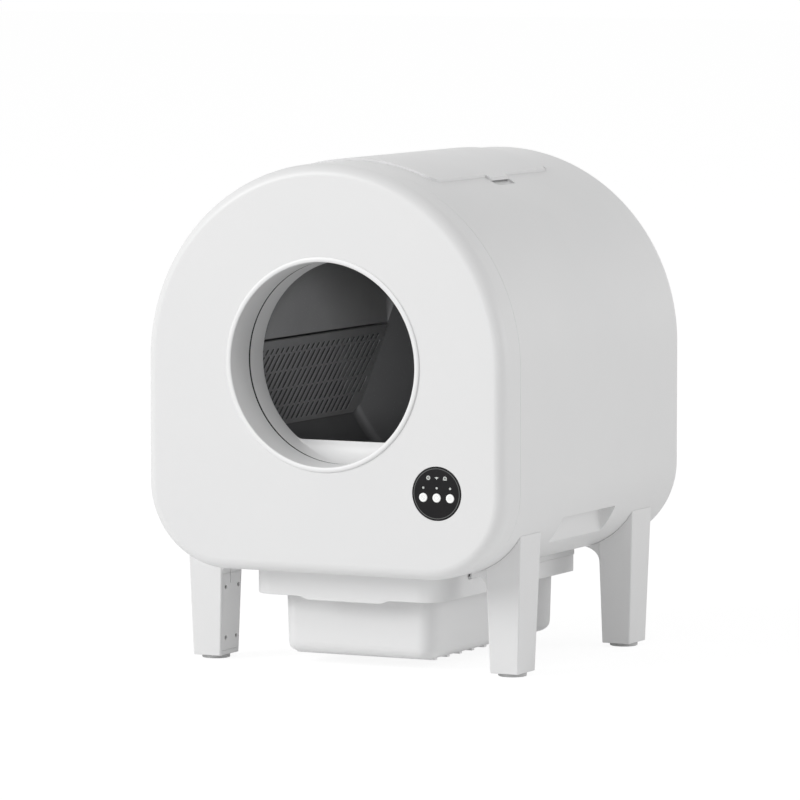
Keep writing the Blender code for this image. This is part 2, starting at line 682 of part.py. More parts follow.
def make_waste_drawer():
    def rounding(radius, height):
        """How far a rounded bottom edge is set in at a height above the bottom."""
        if height >= radius:
            return 0
        return radius - sqrt(radius ** 2 - (radius - height) ** 2)

    def tub(height, wall):
        draft = wall + TUB_DRAFT * (1 - height / TUB_HEIGHT)
        side = draft + rounding(TUB_SIDE_ROUND - wall, height - wall)
        end = draft + rounding(TUB_END_ROUND - wall, height - wall)
        outline = rounded_rectangle(
            TUB_HALF_WIDTH - side, y_at(TUB_FRONT + end), y_at(TUB_REAR - end),
            TUB_CORNER - wall, REAR_CORNER, 5)
        return [(x, y, TUB_BOTTOM_Z + height) for x, y in outline]

    def rim(z, inset):
        outline = rounded_rectangle(
            RIM_HALF_WIDTH - inset, y_at(RIM_FRONT + inset), y_at(RIM_REAR - inset),
            RIM_CORNER - inset, REAR_CORNER, 5)
        return [(x, y, z) for x, y in outline]

    def tub_rings(wall):
        return [tub(wall + height, wall) for height in (0, 0.0008, 0.0030, 0.0060, 0.0105, TUB_END_ROUND)]

    soft_edge = 0.0015
    rings = tub_rings(0)
    rings += [tub(TUB_HEIGHT - WALL, 0), rim(RIM_TOP_Z - WALL, SKIRT)]
    rings += [rim(RIM_BOTTOM_Z, SKIRT), rim(RIM_BOTTOM_Z, 0)]
    rings += [rim(RIM_TOP_Z - soft_edge, 0), rim(RIM_TOP_Z, soft_edge), tub(TUB_HEIGHT, SKIRT)]
    rings += list(reversed(tub_rings(SKIRT)))
    body = loft(rings)

    pull_front = RIM_FRONT + 0.0004
    pull = prism(pull_outline(), "Y", y_at(pull_front), y_at(pull_front + SKIRT))
    ribs = []
    for i in range(RIB_COUNT):
        middle = FIRST_RIB + i * RIB_PITCH
        ribs.append(box(
            (-RIB_HALF_WIDTH, y_at(middle - 0.004), TUB_BOTTOM_Z - 0.0018),
            (RIB_HALF_WIDTH, y_at(middle + 0.004), TUB_BOTTOM_Z + 0.0010)))
    grooves = []
    backing = []
    for side in (-1, 1):
        low_x, high_x = sorted((side * GROOVE_X, side * (RIM_HALF_WIDTH + 0.01)))
        grooves.append(box(
            (low_x, y_at(RAIL_FRONT - 0.0005), GROOVE_LOW_Z), (high_x, y_at(RIM_REAR + 0.02), GROOVE_TOP_Z)))
        low_x, high_x = sorted((side * (GROOVE_X - WALL), side * (RIM_HALF_WIDTH - 0.0015)))
        backing.append(box(
            (low_x, y_at(RAIL_FRONT - 0.006), GROOVE_LOW_Z - WALL),
            (high_x, y_at(RIM_REAR - 0.007), RIM_TOP_Z - 0.001)))
    piece("waste_drawer", body, WHITE, add=[pull, *ribs, *backing], cut=grooves)


def make_drawer_rails():
    top = UNDERSIDE_Z - GAP
    web_x = RAIL_OUTER_X - 0.0025
    shelf_z = top - 0.0020
    for side in (-1, 1):
        section = [
            (RAIL_INNER_X, top), (RAIL_OUTER_X, top), (RAIL_OUTER_X, TONGUE_LOW_Z),
            (TONGUE_X, TONGUE_LOW_Z), (TONGUE_X, TONGUE_TOP_Z), (web_x, TONGUE_TOP_Z),
            (web_x, shelf_z), (RAIL_INNER_X, shelf_z),
        ]
        outline = [(side * x, z) for x, z in section]
        rail = prism(outline, "Y", y_at(RAIL_FRONT), y_at(RAIL_REAR))
        piece(f"drawer_rail_{side_name(side)}", rail, WHITE)


# Legs

def leg_ring(z, side, depth, shrink=0.0):
    """Rounded rectangle section of a leg at a height, shrunk on every side."""
    share = (z - LEG_BOTTOM_Z) / (LEG_TOP_Z - LEG_BOTTOM_Z)
    inner, outer, half = (a + (b - a) * share for a, b in zip(LEG_BOTTOM, LEG_TOP))
    middle = (inner + outer) / 2
    half_x = (outer - inner) / 2 - shrink
    half -= shrink
    radius = max(LEG_ROUND - shrink, 0.001)
    outline = rounded_rectangle(half_x, y_at(depth) - half, y_at(depth) + half, radius, radius, 2)
    return [(side * middle + x, y, z) for x, y in outline]


def inner_face(z):
    """X of a leg's inner face at a height."""
    share = (z - LEG_BOTTOM_Z) / (LEG_TOP_Z - LEG_BOTTOM_Z)
    return LEG_BOTTOM[0] + (LEG_TOP[0] - LEG_BOTTOM[0]) * share


def side_slab(side, low_z, high_z, out, into, front, rear):
    """A slab that follows a leg's sloping inner face, from out in front of it to into behind it."""
    rings = []
    for z in (low_z, high_z):
        near, far = side * (inner_face(z) - out), side * (inner_face(z) + into)
        corners = ((near, front), (far, front), (far, rear), (near, rear))
        rings.append([(x, y_at(depth), z) for x, depth in corners])
    return loft(rings)


def leg_flare(side, depth):
    """The curved web between a leg's inner face and the body."""
    reach, rise = FLARE
    low_z = FLARE_TOP_Z - rise
    top_z = FLARE_TOP_Z + 0.019
    face_x = inner_face(low_z)
    inside_x = face_x + 0.006
    section = []
    for i in range(7):
        angle = pi / 2 * i / 6
        section.append((face_x - reach * (1 - cos(angle)), low_z + rise * sin(angle)))
    section += [(face_x - reach, top_z), (inside_x, top_z), (inside_x, low_z)]
    outline = [(side * x, z) for x, z in section]
    return prism(outline, "Y", y_at(depth - FLARE_HALF_DEPTH), y_at(depth + FLARE_HALF_DEPTH))


def make_legs():
    body_room = guide("body_envelope", prism(body_outline(-GAP), "Y", y_at(0.0), y_at(BODY_DEPTH)))
    low_z, high_z, half = PLATE_LOW_Z, PLATE_TOP_Z, PLATE_HALF_DEPTH
    step = 0.0025
    for side in (-1, 1):
        for end, depth in zip(("front", "rear"), LEG_DEPTHS):
            name = f"{end}_{side_name(side)}"
            leg = loft([leg_ring(LEG_BOTTOM_Z, side, depth), leg_ring(LEG_TOP_Z, side, depth)])
            hollow = side_slab(
                side, low_z + step, high_z - step, -0.001, LEG_HOLLOW,
                depth - half + 0.8 * step, depth + half - 0.8 * step)
            seat = side_slab(
                side, low_z - GAP, high_z + GAP, 0.01, SHEET + GAP, depth - half - GAP, depth + half + GAP)
            piece(f"leg_{name}", leg, WHITE, add=[leg_flare(side, depth)], cut=[seat, hollow, body_room])
            plate = side_slab(side, low_z, high_z, 0, SHEET, depth - half, depth + half)
            piece(f"leg_plate_{name}", plate, WHITE)
            middle = side * (LEG_BOTTOM[0] + LEG_BOTTOM[1]) / 2
            pad = upright(PAD_RADIUS, 0, PAD_HEIGHT, middle, depth, 24)
            piece(f"foot_pad_{name}", pad, RUBBER)


# Drum

def drum_inside(margin):
    """Half section of the drum's inside, as radius and depth, from the front to the middle of the back."""
    inner = DRUM_OUTER - DRUM_WALL - margin
    back = DRUM_BACK_WALL - margin
    profile = [(inner, DRUM_SHELL_FRONT)]
    for i in range(4):
        angle = pi / 2 * i / 3
        profile.append((inner - DRUM_FILLET * (1 - cos(angle)), back - DRUM_FILLET * (1 - sin(angle))))
    profile.append((0, back))
    return profile


def make_drum_shell():
    back = DRUM_BACK_WALL
    profile = drum_inside(0) + [(0, back + DRUM_WALL)]
    outer_round = DRUM_FILLET + DRUM_WALL
    for i in range(3, -1, -1):
        angle = pi / 2 * i / 3
        profile.append((
            DRUM_OUTER - outer_round * (1 - cos(angle)),
            back + DRUM_WALL - outer_round * (1 - sin(angle))))
    profile.append((DRUM_OUTER, DRUM_SHELL_FRONT))
    shell = turned(profile, 0, AXIS_Z, DRUM_STEPS)
    port = box(
        (-PORT_HALF_WIDTH, y_at(PORT_FRONT), AXIS_Z + 0.1), (PORT_HALF_WIDTH, y_at(PORT_REAR), AXIS_Z + 0.3))
    piece("drum_shell", shell, DARK, DRUM_ORIGIN, cut=[port])


def make_drum_front():
    hole, rear = COLLAR_MOUTH, DRUM_FRONT + DRUM_FRONT_WALL
    profile = [(hole, DRUM_FRONT), (DRUM_OUTER, DRUM_FRONT), (DRUM_OUTER, rear), (hole, rear)]
    piece("drum_front_wall", turned(profile, 0, AXIS_Z, DRUM_STEPS), DARK, DRUM_ORIGIN)


def make_drum_collar():
    """Ring at the drum's mouth, with the litter dam that rises from its bottom."""
    tube = [
        (COLLAR_MOUTH, COLLAR_FRONT), (COLLAR_MOUTH + COLLAR_WALL, COLLAR_FRONT),
        (COLLAR_RADIUS + COLLAR_WALL, COLLAR_REAR), (COLLAR_RADIUS, COLLAR_REAR),
    ]
    front, rear = y_at(COLLAR_FRONT + 0.002), y_at(COLLAR_REAR)
    low_z = AXIS_Z - COLLAR_MOUTH - 0.0003
    top_z = AXIS_Z - DAM_DROP
    under_z = AXIS_Z - COLLAR_MOUTH - 0.02
    rise = top_z - DAM_LIP - low_z
    run = rear - SHEET - front
    section = []
    for i in range(7):
        angle = pi / 2 * i / 6
        section.append((front + run * sin(angle), low_z + rise * (1 - cos(angle))))
    section += [(front + run, top_z), (rear, top_z), (rear, under_z), (front, under_z)]
    dam = guide("dam", prism(section, "X", -DAM_HALF_WIDTH, DAM_HALF_WIDTH))
    round_off = dam.modifiers.new("round", "BOOLEAN")
    round_off.operation = "INTERSECT"
    half_wall = COLLAR_WALL / 2
    plug = [
        (0, COLLAR_FRONT), (COLLAR_MOUTH + half_wall, COLLAR_FRONT), (COLLAR_RADIUS + half_wall, COLLAR_REAR),
        (COLLAR_RADIUS + half_wall, COLLAR_REAR + 0.01), (0, COLLAR_REAR + 0.01),
    ]
    round_off.object = guide("dam_round", turned(plug, 0, AXIS_Z, ENTRY_STEPS))
    piece("drum_collar", turned(tube, 0, AXIS_Z, ENTRY_STEPS), WHITE, DRUM_ORIGIN, add=[dam])


def make_guard_panel():
    """Curved sheet from the sieve's top edge up to the waste port."""
    start = Vector((SIEVE_TOP[0] - 0.001, SIEVE_TOP[1] + 0.0035))
    bend = Vector((-0.1405, 0.1050))
    inner = DRUM_OUTER - DRUM_WALL
    end_x = -PORT_HALF_WIDTH - 0.003
    end = Vector((end_x, sqrt((inner - 0.0018) ** 2 - end_x ** 2)))
    steps = 8
    front_side = []
    back_side = []
    for i in range(steps + 1):
        t = i / steps
        point = start * (1 - t) ** 2 + bend * 2 * t * (1 - t) + end * t ** 2
        along = (bend - start) * (1 - t) + (end - bend) * t
        outwards = Vector((-along.y, along.x)).normalized()
        front_side.append(point)
        back_side.append(point + outwards * SHEET)
    section = [(p.x, AXIS_Z + p.y) for p in front_side + list(reversed(back_side))]
    sheet = prism(section, "Y", y_at(SIEVE_FRONT), y_at(SIEVE_REAR))
    room = turned(drum_inside(0.0008) + [(0, DRUM_SHELL_FRONT)], 0, AXIS_Z, DRUM_STEPS)
    piece("guard_panel", sheet, DARK, DRUM_ORIGIN, keep=[room])


def make_sieve_screen():
    """Flat plate with staggered rows of slanted slots."""
    bm = bmesh.new()
    down = Vector((-sin(SIEVE_LEAN), 0, -cos(SIEVE_LEAN)))
    corner = Vector((SIEVE_TOP[0], 0, AXIS_Z + SIEVE_TOP[1]))

    def place(depth, distance):
        point = corner + down * distance
        return (point.x, y_at(depth), point.z)

    def outline(points):
        verts = [bm.verts.new(place(*point)) for point in points]
        return [bm.edges.new((verts[i], verts[(i + 1) % len(verts)])) for i in range(len(verts))]

    edges = outline([
        (SIEVE_FRONT, 0), (SIEVE_REAR, 0), (SIEVE_REAR, SIEVE_LENGTH - SIEVE_CHAMFER[1]),
        (SIEVE_REAR - SIEVE_CHAMFER[0], SIEVE_LENGTH), (SIEVE_FRONT, SIEVE_LENGTH)])
    half = SLOT_WIDTH / 2
    for row, (top, length) in enumerate(SLOT_ROWS):
        shift = SLOT_PITCH / 2 if row % 2 else 0
        lean = SLOT_SLANT * length / 2
        for i in range(SLOTS_PER_ROW):
            depth = FIRST_SLOT + shift + i * SLOT_PITCH
            into_chamfer = max(0, top + length - SIEVE_LENGTH + 0.018)
            if depth + lean + half > SIEVE_REAR - 0.004 - into_chamfer:
                continue
            edges += outline([
                (depth + lean - half, top), (depth + lean + half, top),
                (depth - lean + half, top + length), (depth - lean - half, top + length)])
    bmesh.ops.triangle_fill(bm, use_beauty=True, use_dissolve=False, edges=edges)
    faces = list(bm.faces)
    extruded = bmesh.ops.extrude_face_region(bm, geom=faces, use_keep_orig=True)
    moved = [item for item in extruded["geom"] if isinstance(item, bmesh.types.BMVert)]
    outwards = Vector((-cos(SIEVE_LEAN), 0, sin(SIEVE_LEAN)))
    bmesh.ops.translate(bm, verts=moved, vec=outwards * SHEET)
    piece("sieve_screen", closed(bm), DARK, DRUM_ORIGIN)


def gear_outline(teeth, x, z, phase):
    """Outline of a spur gear with straight-sided teeth, X and Z."""
    pitch = GEAR_MODULE * teeth / 2
    root = pitch - TOOTH_HEIGHT * 0.54
    tip = root + TOOTH_HEIGHT
    step = tau / teeth
    points = []
    for tooth in range(teeth):
        middle = phase + step * tooth
        for radius, share in ((root, -TOOTH_ROOT), (tip, -TOOTH_TIP), (tip, TOOTH_TIP), (root, TOOTH_ROOT)):
            angle = middle + step * share / 2
            points.append((x + radius * cos(angle), z + radius * sin(angle)))
    return points


def pinion_centre():
    reach = GEAR_MODULE * (RING_TEETH + PINION_TEETH) / 2 + 0.0002
    return reach * cos(PINION_DIRECTION), AXIS_Z + reach * sin(PINION_DIRECTION)


def make_ring_gear():
    front, rear = GEAR_FRONT, GEAR_FRONT + GEAR_WIDTH
    blank = prism(gear_outline(RING_TEETH, 0, AXIS_Z, PINION_DIRECTION), "Y", y_at(front), y_at(rear))
    bore = disc(DRUM_OUTER + GAP, front - 0.02, rear + 0.02, 0, AXIS_Z, DRUM_STEPS)
    piece("ring_gear", blank, DARK, DRUM_ORIGIN, cut=[bore])


def make_drive():
    x, z = pinion_centre()
    origin = (x, 0, z)
    front, rear = GEAR_FRONT, GEAR_FRONT + GEAR_WIDTH
    phase = PINION_DIRECTION + pi + pi / PINION_TEETH
    outline = gear_outline(PINION_TEETH, x, z, phase)
    blank = prism(outline, "Y", y_at(front - 0.001), y_at(rear + 0.001))
    bore = disc(SHAFT_RADIUS + GAP, front - 0.02, rear + 0.02, x, z, 16)
    piece("drive_pinion", blank, ACETAL, origin, cut=[bore])
    plate_front = rear + 0.0060
    plate_rear = plate_front + WALL
    shaft = disc(SHAFT_RADIUS, front - 0.003, plate_rear + GAP, x, z, 16)
    piece("pinion_shaft", shaft, STEEL, origin)

    # The bracket widens above the base plate, where the body's corner leaves room for it
    low_x, foot_x, head_x = x - 0.0270, BASE_HALF_WIDTH - 0.001, x + 0.0245
    shoulder_z = BASE_TOP + 0.0090
    head = box((low_x, y_at(plate_front), shoulder_z - 0.001), (head_x, y_at(plate_rear), z + 0.0230))
    stem = box((low_x, y_at(plate_front), BASE_TOP), (foot_x, y_at(plate_rear), shoulder_z))
    foot = box((low_x, y_at(plate_front), BASE_TOP), (foot_x, y_at(plate_rear + 0.030), BASE_TOP + WALL))
    shaft_hole = disc(0.0070, plate_front - 0.02, plate_rear + 0.02, x, z, 20)
    drum_room = disc(DRUM_OUTER + 0.004, plate_front - 0.02, plate_rear + 0.02, 0, AXIS_Z, DRUM_STEPS)
    piece("motor_bracket", head, STEEL, add=[stem, foot], cut=[shaft_hole, drum_room])

    motor_front = plate_rear + GAP * 2
    gearbox = motor_front + 0.024
    motor_rear = motor_front + MOTOR_LENGTH
    can = MOTOR_RADIUS - 0.0020
    boss = 0.0060
    profile = [
        (0, motor_front), (MOTOR_RADIUS, motor_front), (MOTOR_RADIUS, gearbox), (can, gearbox + 0.0010),
        (can, motor_rear), (boss, motor_rear), (boss, motor_rear + 0.003), (0, motor_rear + 0.003),
    ]
    piece("gear_motor", turned(profile, x, z, 24), STEEL)


def make_rollers():
    reach = DRUM_OUTER + ROLLER_RADIUS + 0.0005
    for end, depth in zip(("front", "rear"), ROLLER_DEPTHS):
        ears = []
        holes = []
        for side in (-1, 1):
            x = side * reach * sin(ROLLER_ANGLE)
            z = AXIS_Z - reach * cos(ROLLER_ANGLE)
            name = f"{end}_{side_name(side)}"
            half = ROLLER_WIDTH / 2
            profile = [
                (AXLE_RADIUS + GAP, depth - half), (ROLLER_RADIUS - 0.001, depth - half),
                (ROLLER_RADIUS, depth - half + 0.001), (ROLLER_RADIUS, depth + half - 0.001),
                (ROLLER_RADIUS - 0.001, depth + half), (AXLE_RADIUS + GAP, depth + half),
            ]
            piece(f"roller_{name}", turned(profile, x, z, 24), ACETAL, (x, 0, z))
            ear_inner = half + 0.0012
            ear_outer = ear_inner + EAR
            axle = disc(AXLE_RADIUS, depth - ear_outer - 0.001, depth + ear_outer + 0.001, x, z, 12)
            piece(f"roller_axle_{name}", axle, STEEL)
            for way in (-1, 1):
                near, far = sorted((depth + way * ear_inner, depth + way * ear_outer))
                ears.append(box(
                    (x - EAR_HALF_WIDTH, y_at(near), BASE_TOP + 0.001),
                    (x + EAR_HALF_WIDTH, y_at(far), z + EAR_RISE)))
            holes.append(disc(AXLE_RADIUS + GAP, depth - 0.03, depth + 0.03, x, z, 12))
        half_x, half_y = BASE_HALF_WIDTH - 0.004, ROLLER_WIDTH
        strip = box((-half_x, y_at(depth - half_y), BASE_TOP), (half_x, y_at(depth + half_y), BASE_TOP + WALL))
        piece(f"roller_bracket_{end}", strip, WHITE, add=ears, cut=holes)


def make_sensors():
    """A sensor post under the drum, the magnet that passes over it, and the sensor above the entry."""
    x, half = MAGNET_X, 0.006
    top = AXIS_Z - sqrt((DRUM_OUTER + 0.0045) ** 2 - x ** 2)
    post = box((x - half, y_at(MAGNET_DEPTH - half), BASE_TOP), (x + half, y_at(MAGNET_DEPTH + half), top))
    piece("position_sensor", post, BOARD)

    radius, height = 0.004, 0.0020
    across = x / DRUM_OUTER
    outwards = Vector((across, 0, -sqrt(1 - across ** 2)))
    middle = outwards * (DRUM_OUTER + GAP + height / 2) + Vector((0, y_at(MAGNET_DEPTH), AXIS_Z))
    turn = outwards.to_track_quat("Z", "Y").to_matrix().to_4x4()
    magnet = bmesh.new()
    bmesh.ops.create_cone(
        magnet, cap_ends=True, segments=14, radius1=radius, radius2=radius, depth=height,
        matrix=Matrix.Translation(middle) @ turn)
    piece("drum_magnet", magnet, STEEL, DRUM_ORIGIN)

    half_x, low_z, high_z = 0.015, 0.545, 0.570
    module = box((-half_x, y_at(WALL + GAP), low_z), (half_x, y_at(0.0100), high_z))
    piece("presence_sensor", module, BOARD)


def make_main_board():
    """Circuit board on four posts behind the rear cover, with a coil, a chip and a plug row."""
    half, low_z, high_z = 0.060, 0.330, 0.410
    rear = BODY_DEPTH - WALL - 0.010
    face = rear - 0.001
    board = box((-half, y_at(rear - 0.0016), low_z), (half, y_at(rear), high_z))
    coil = box((-0.050, y_at(rear - 0.0120), 0.385), (-0.030, y_at(face), 0.402))
    chip = box((-0.010, y_at(rear - 0.0040), 0.350), (0.012, y_at(face), 0.372))
    plugs = box((0.030, y_at(rear - 0.0090), 0.338), (0.050, y_at(face), 0.346))
    posts = []
    for x in (0.006 - half, half - 0.006):
        for z in (low_z + 0.006, high_z - 0.006):
            posts.append(disc(0.0030, face, BODY_DEPTH - WALL - GAP, x, z, 10))
    piece("main_board", board, BOARD, add=[coil, chip, plugs, *posts])


# Control panel

def make_control_panel():
    r = PANEL_RADIUS
    behind = WALL + GAP
    rear = PANEL_REAR
    skirt = rear + 0.0107
    profile = [
        (0, -PANEL_PROUD), (r - PANEL_PROUD, -PANEL_PROUD), (r, 0), (r, behind), (r + 0.0030, behind),
        (r + 0.0030, rear), (r - 0.0020, rear), (r - 0.0020, skirt), (r - 0.0040, skirt),
        (r - 0.0040, rear), (0, rear),
    ]
    bezel = turned(profile, PANEL_X, PANEL_Z, 32)
    holes = []
    centres = [PANEL_X + step * BUTTON_PITCH for step in (-1, 0, 1)]
    for x in centres:
        holes.append(disc(BUTTON_RADIUS + GAP, -0.01, 0.02, x, BUTTON_Z, 20))
        holes.append(disc(LIGHT_RADIUS + GAP, -0.01, 0.02, x, LIGHT_Z, 10))
    piece("control_panel", bezel, BLACK, cut=holes)

    r = BUTTON_RADIUS
    stop = PANEL_REAR + 0.0004      # a button's flange rests this far behind the panel
    for name, x in zip(("left", "middle", "right"), centres):
        profile = [
            (0, -BUTTON_PROUD), (r - 0.0008, -BUTTON_PROUD), (r, -BUTTON_PROUD / 2), (r, stop),
            (r + 0.0012, stop), (r + 0.0012, stop + 0.0010), (STEM_RADIUS, stop + 0.0010),
            (STEM_RADIUS, STEM_END), (0, STEM_END),
        ]
        piece(f"button_{name}", turned(profile, x, BUTTON_Z, 20), LIGHT, (x, y_at(0), BUTTON_Z))

    half = 0.003
    bar = box(
        (centres[0] - half, y_at(stop), LIGHT_Z - half),
        (centres[2] + half, y_at(stop + 0.0020), LIGHT_Z + half))
    pipes = [disc(LIGHT_RADIUS, -GAP, stop + GAP, x, LIGHT_Z, 10) for x in centres]
    piece("indicator_lens", bar, LIGHT, add=pipes)

    front = STEM_END + 0.0026
    board = disc(PANEL_RADIUS - 0.0045, front, front + 0.0016, PANEL_X, PANEL_Z, 32)
    switches = []
    for x in centres:
        switches.append(box(
            (x - half, y_at(STEM_END + 0.0015), BUTTON_Z - half),
            (x + half, y_at(front + 0.0005), BUTTON_Z + half)))
    piece("panel_board", board, BOARD, add=switches)


for old in list(bpy.data.objects):
    bpy.data.objects.remove(old, do_unlink=True)

make_front_cover()
make_entry_ring()
make_housing_shell()
make_rear_cover()
make_power_inlet()
make_top_lid()
make_base_plate()
make_waste_chute()
make_waste_drawer()
make_drawer_rails()
make_legs()
make_drum_shell()
make_drum_front()
make_drum_collar()
make_guard_panel()
make_sieve_screen()
make_ring_gear()
make_drive()
make_rollers()
make_sensors()
make_main_board()
make_control_panel()
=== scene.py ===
import json
from math import asin, cos, degrees, pi, radians, sin, sqrt, tau

import bmesh
import bpy
from mathutils import Matrix, Vector


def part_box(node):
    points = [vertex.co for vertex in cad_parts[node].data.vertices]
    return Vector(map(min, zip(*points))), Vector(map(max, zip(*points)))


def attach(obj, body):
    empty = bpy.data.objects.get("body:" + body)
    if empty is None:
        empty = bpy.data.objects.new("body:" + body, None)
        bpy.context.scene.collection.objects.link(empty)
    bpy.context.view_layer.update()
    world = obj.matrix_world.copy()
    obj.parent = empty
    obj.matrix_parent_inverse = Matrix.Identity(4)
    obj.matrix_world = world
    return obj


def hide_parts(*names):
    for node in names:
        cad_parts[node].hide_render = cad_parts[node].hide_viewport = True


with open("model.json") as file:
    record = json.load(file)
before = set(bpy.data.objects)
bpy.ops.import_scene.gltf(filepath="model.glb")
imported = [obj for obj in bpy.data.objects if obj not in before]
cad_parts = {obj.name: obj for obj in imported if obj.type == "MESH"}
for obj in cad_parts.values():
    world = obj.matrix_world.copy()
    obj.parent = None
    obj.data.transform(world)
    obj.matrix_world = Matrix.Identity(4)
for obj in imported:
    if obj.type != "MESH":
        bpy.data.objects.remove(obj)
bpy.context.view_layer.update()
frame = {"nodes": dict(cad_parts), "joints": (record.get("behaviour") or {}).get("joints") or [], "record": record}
nodeBody = {node: body for body, nodes in frame["record"]["behaviour"]["bodies"].items() for node in nodes}
jointAt = {joint["name"]: Vector(joint["pos_m"]) for joint in frame["joints"] if joint.get("pos_m")}
print("frame loaded,", len(frame["nodes"]), "nodes")

# Sizes that the frame gives
coverLow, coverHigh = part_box("front_cover")
halfWidth = coverHigh.x
undersideZ = coverLow.z
axisZ = coverHigh.z - halfWidth
frontY = coverLow.y
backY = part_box("housing_shell")[1].y
bodyDepth = backY - frontY

bodyForm = {
    "wall": 0.003,
    "gap": 0.0003,
    "frontRound": (0.015, 0.020),  # across the face, and backwards
    "rearRound": (0.037, 0.037),
    "corner": 0.108,
    "archSteps": 120,
    "cornerSteps": 36,
    "edgeSoft": 0.0006,
    "tongue": (0.008, 0.018),  # from where in front of the seam, and how long
    "underOpening": (0.120, 0.105, 0.470),  # half width, front and rear
}
wall, gap = bodyForm["wall"], bodyForm["gap"]


def at(x, depth, z):  # a point by its depth behind the front face
    return Vector((x, frontY + depth, z))


def quarterTurn(steps):  # the angles of a quarter circle
    return [pi / 2 * i / steps for i in range(steps + 1)]


arcCentre = at(0, 0, axisZ)
skyZ = axisZ + 0.3  # well above the body, where cutters end


# Mesh helpers

def vertsOf(geom):
    return [item for item in geom if isinstance(item, bmesh.types.BMVert)]


def cleaned(bm, merge=1e-6):
    bmesh.ops.remove_doubles(bm, verts=bm.verts, dist=merge)
    bmesh.ops.dissolve_degenerate(bm, dist=1e-6, edges=bm.edges)
    bmesh.ops.recalc_face_normals(bm, faces=bm.faces)
    return bm


def bevelled(bm, geom, width, segments=4, affect="EDGES"):
    if geom:
        bmesh.ops.bevel(
            bm, geom=geom, offset=width, offset_type="OFFSET", segments=segments, profile=0.5,
            affect=affect, clamp_overlap=True, material=-1)
    return bm


def softened(bm, width, segments=3, angle=35, where=None):  # rounds every edge sharper than the angle
    edges = []
    for edge in bm.edges:
        if edge.is_manifold and degrees(edge.calc_face_angle()) > angle and (where is None or where(edge)):
            edges.append(edge)
    return bevelled(bm, edges, width, segments)


def lying(axis, value):  # picks the edges whose two ends have this place along an axis
    return lambda edge: all(abs(getattr(vert.co, axis) - value) < 1e-5 for vert in edge.verts)


def block(low, high, round=0.0, axis=None, segments=8):
    # a box, its edges along one axis or all of them rounded
    bm = bmesh.new()
    low, high = Vector(low), Vector(high)
    matrix = Matrix.Translation((low + high) / 2) @ Matrix.Diagonal((*(high - low), 1))
    bmesh.ops.create_cube(bm, size=1, matrix=matrix)
    if round:
        picked = []
        for edge in bm.edges:
            along = (edge.verts[1].co - edge.verts[0].co).normalized()
            if axis is None or abs(along["XYZ".index(axis)]) > 0.9:
                picked.append(edge)
        bevelled(bm, picked, round, segments)
    return bm


def aimed(centre, direction):  # turns local Z to a direction, at a place
    return Matrix.Translation(centre) @ Vector(direction).to_track_quat("Z", "Y").to_matrix().to_4x4()


def lathe(profile, centre, direction=(0, 1, 0), steps=96):
    # spins radius and height pairs round an axis through the centre
    bm = bmesh.new()
    verts = [bm.verts.new((radius, 0, height)) for radius, height in profile]
    edges = [bm.edges.new(pair) for pair in zip(verts, verts[1:] + verts[:1])]
    bmesh.ops.spin(
        bm, geom=verts + edges, cent=(0, 0, 0), axis=(0, 0, 1), angle=tau, steps=steps, use_merge=True)
    cleaned(bm)
    bmesh.ops.transform(bm, matrix=aimed(centre, direction), verts=bm.verts)
    return bm


def rod(radius, start, end, steps=48, soft=0.0):
    start, end = Vector(start), Vector(end)
    height = (end - start).length
    bm = bmesh.new()
    bmesh.ops.create_cone(
        bm, cap_ends=True, segments=steps, radius1=radius, radius2=radius, depth=height,
        matrix=aimed((start + end) / 2, end - start))
    if soft:
        softened(bm, soft, 3, 60)
    return bm


def bore(radius, x, z, front, rear, steps=48, soft=0.0):  # a rod that runs from front to back
    return rod(radius, at(x, front, z), at(x, rear, z), steps, soft)


def sideBlock(side, near, far, front, rear, lowZ, highZ, *rounding):  # a box on the left (-1) or right (1)
    low, high = sorted((side * near, side * far))
    return block(at(low, front, lowZ), at(high, rear, highZ), *rounding)


def sector(inner, outer, front, rear, fromAngle, toAngle, steps):
    # a curved plate round the arch's axis, angles from straight up towards the right
    bm = bmesh.new()
    tilt = Vector((sin(fromAngle), 0, cos(fromAngle)))
    verts = []
    for radius, depth in ((inner, front), (outer, front), (outer, rear), (inner, rear)):
        verts.append(bm.verts.new(at(0, depth, axisZ) + tilt * radius))
    face = bm.faces.new(verts)
    bmesh.ops.spin(
        bm, geom=[face, *verts, *face.edges], cent=arcCentre, axis=(0, 1, 0),
        angle=toAngle - fromAngle, steps=steps)
    return cleaned(bm)


def pushedOut(bm, faces, along):  # flat faces made a solid along a vector
    pushed = bmesh.ops.extrude_face_region(bm, geom=faces, use_keep_orig=True)
    bmesh.ops.translate(bm, verts=vertsOf(pushed["geom"]), vec=along)
    return cleaned(bm)


def prism(outline, along):  # the same, from an outline's points
    bm = bmesh.new()
    return pushedOut(bm, [bm.faces.new([bm.verts.new(point) for point in outline])], along)


def merged(*meshes):  # several separate bodies in one mesh
    whole = bmesh.new()
    for bm in meshes:
        mesh = meshOf("part", bm)
        whole.from_mesh(mesh)
        bpy.data.meshes.remove(mesh)
    return whole


def placed(name, data):
    obj = bpy.data.objects.new(name, data)
    bpy.context.scene.collection.objects.link(obj)
    return obj


def meshOf(name, bm):
    mesh = bpy.data.meshes.new(name)
    bm.to_mesh(mesh)
    bm.free()
    return mesh


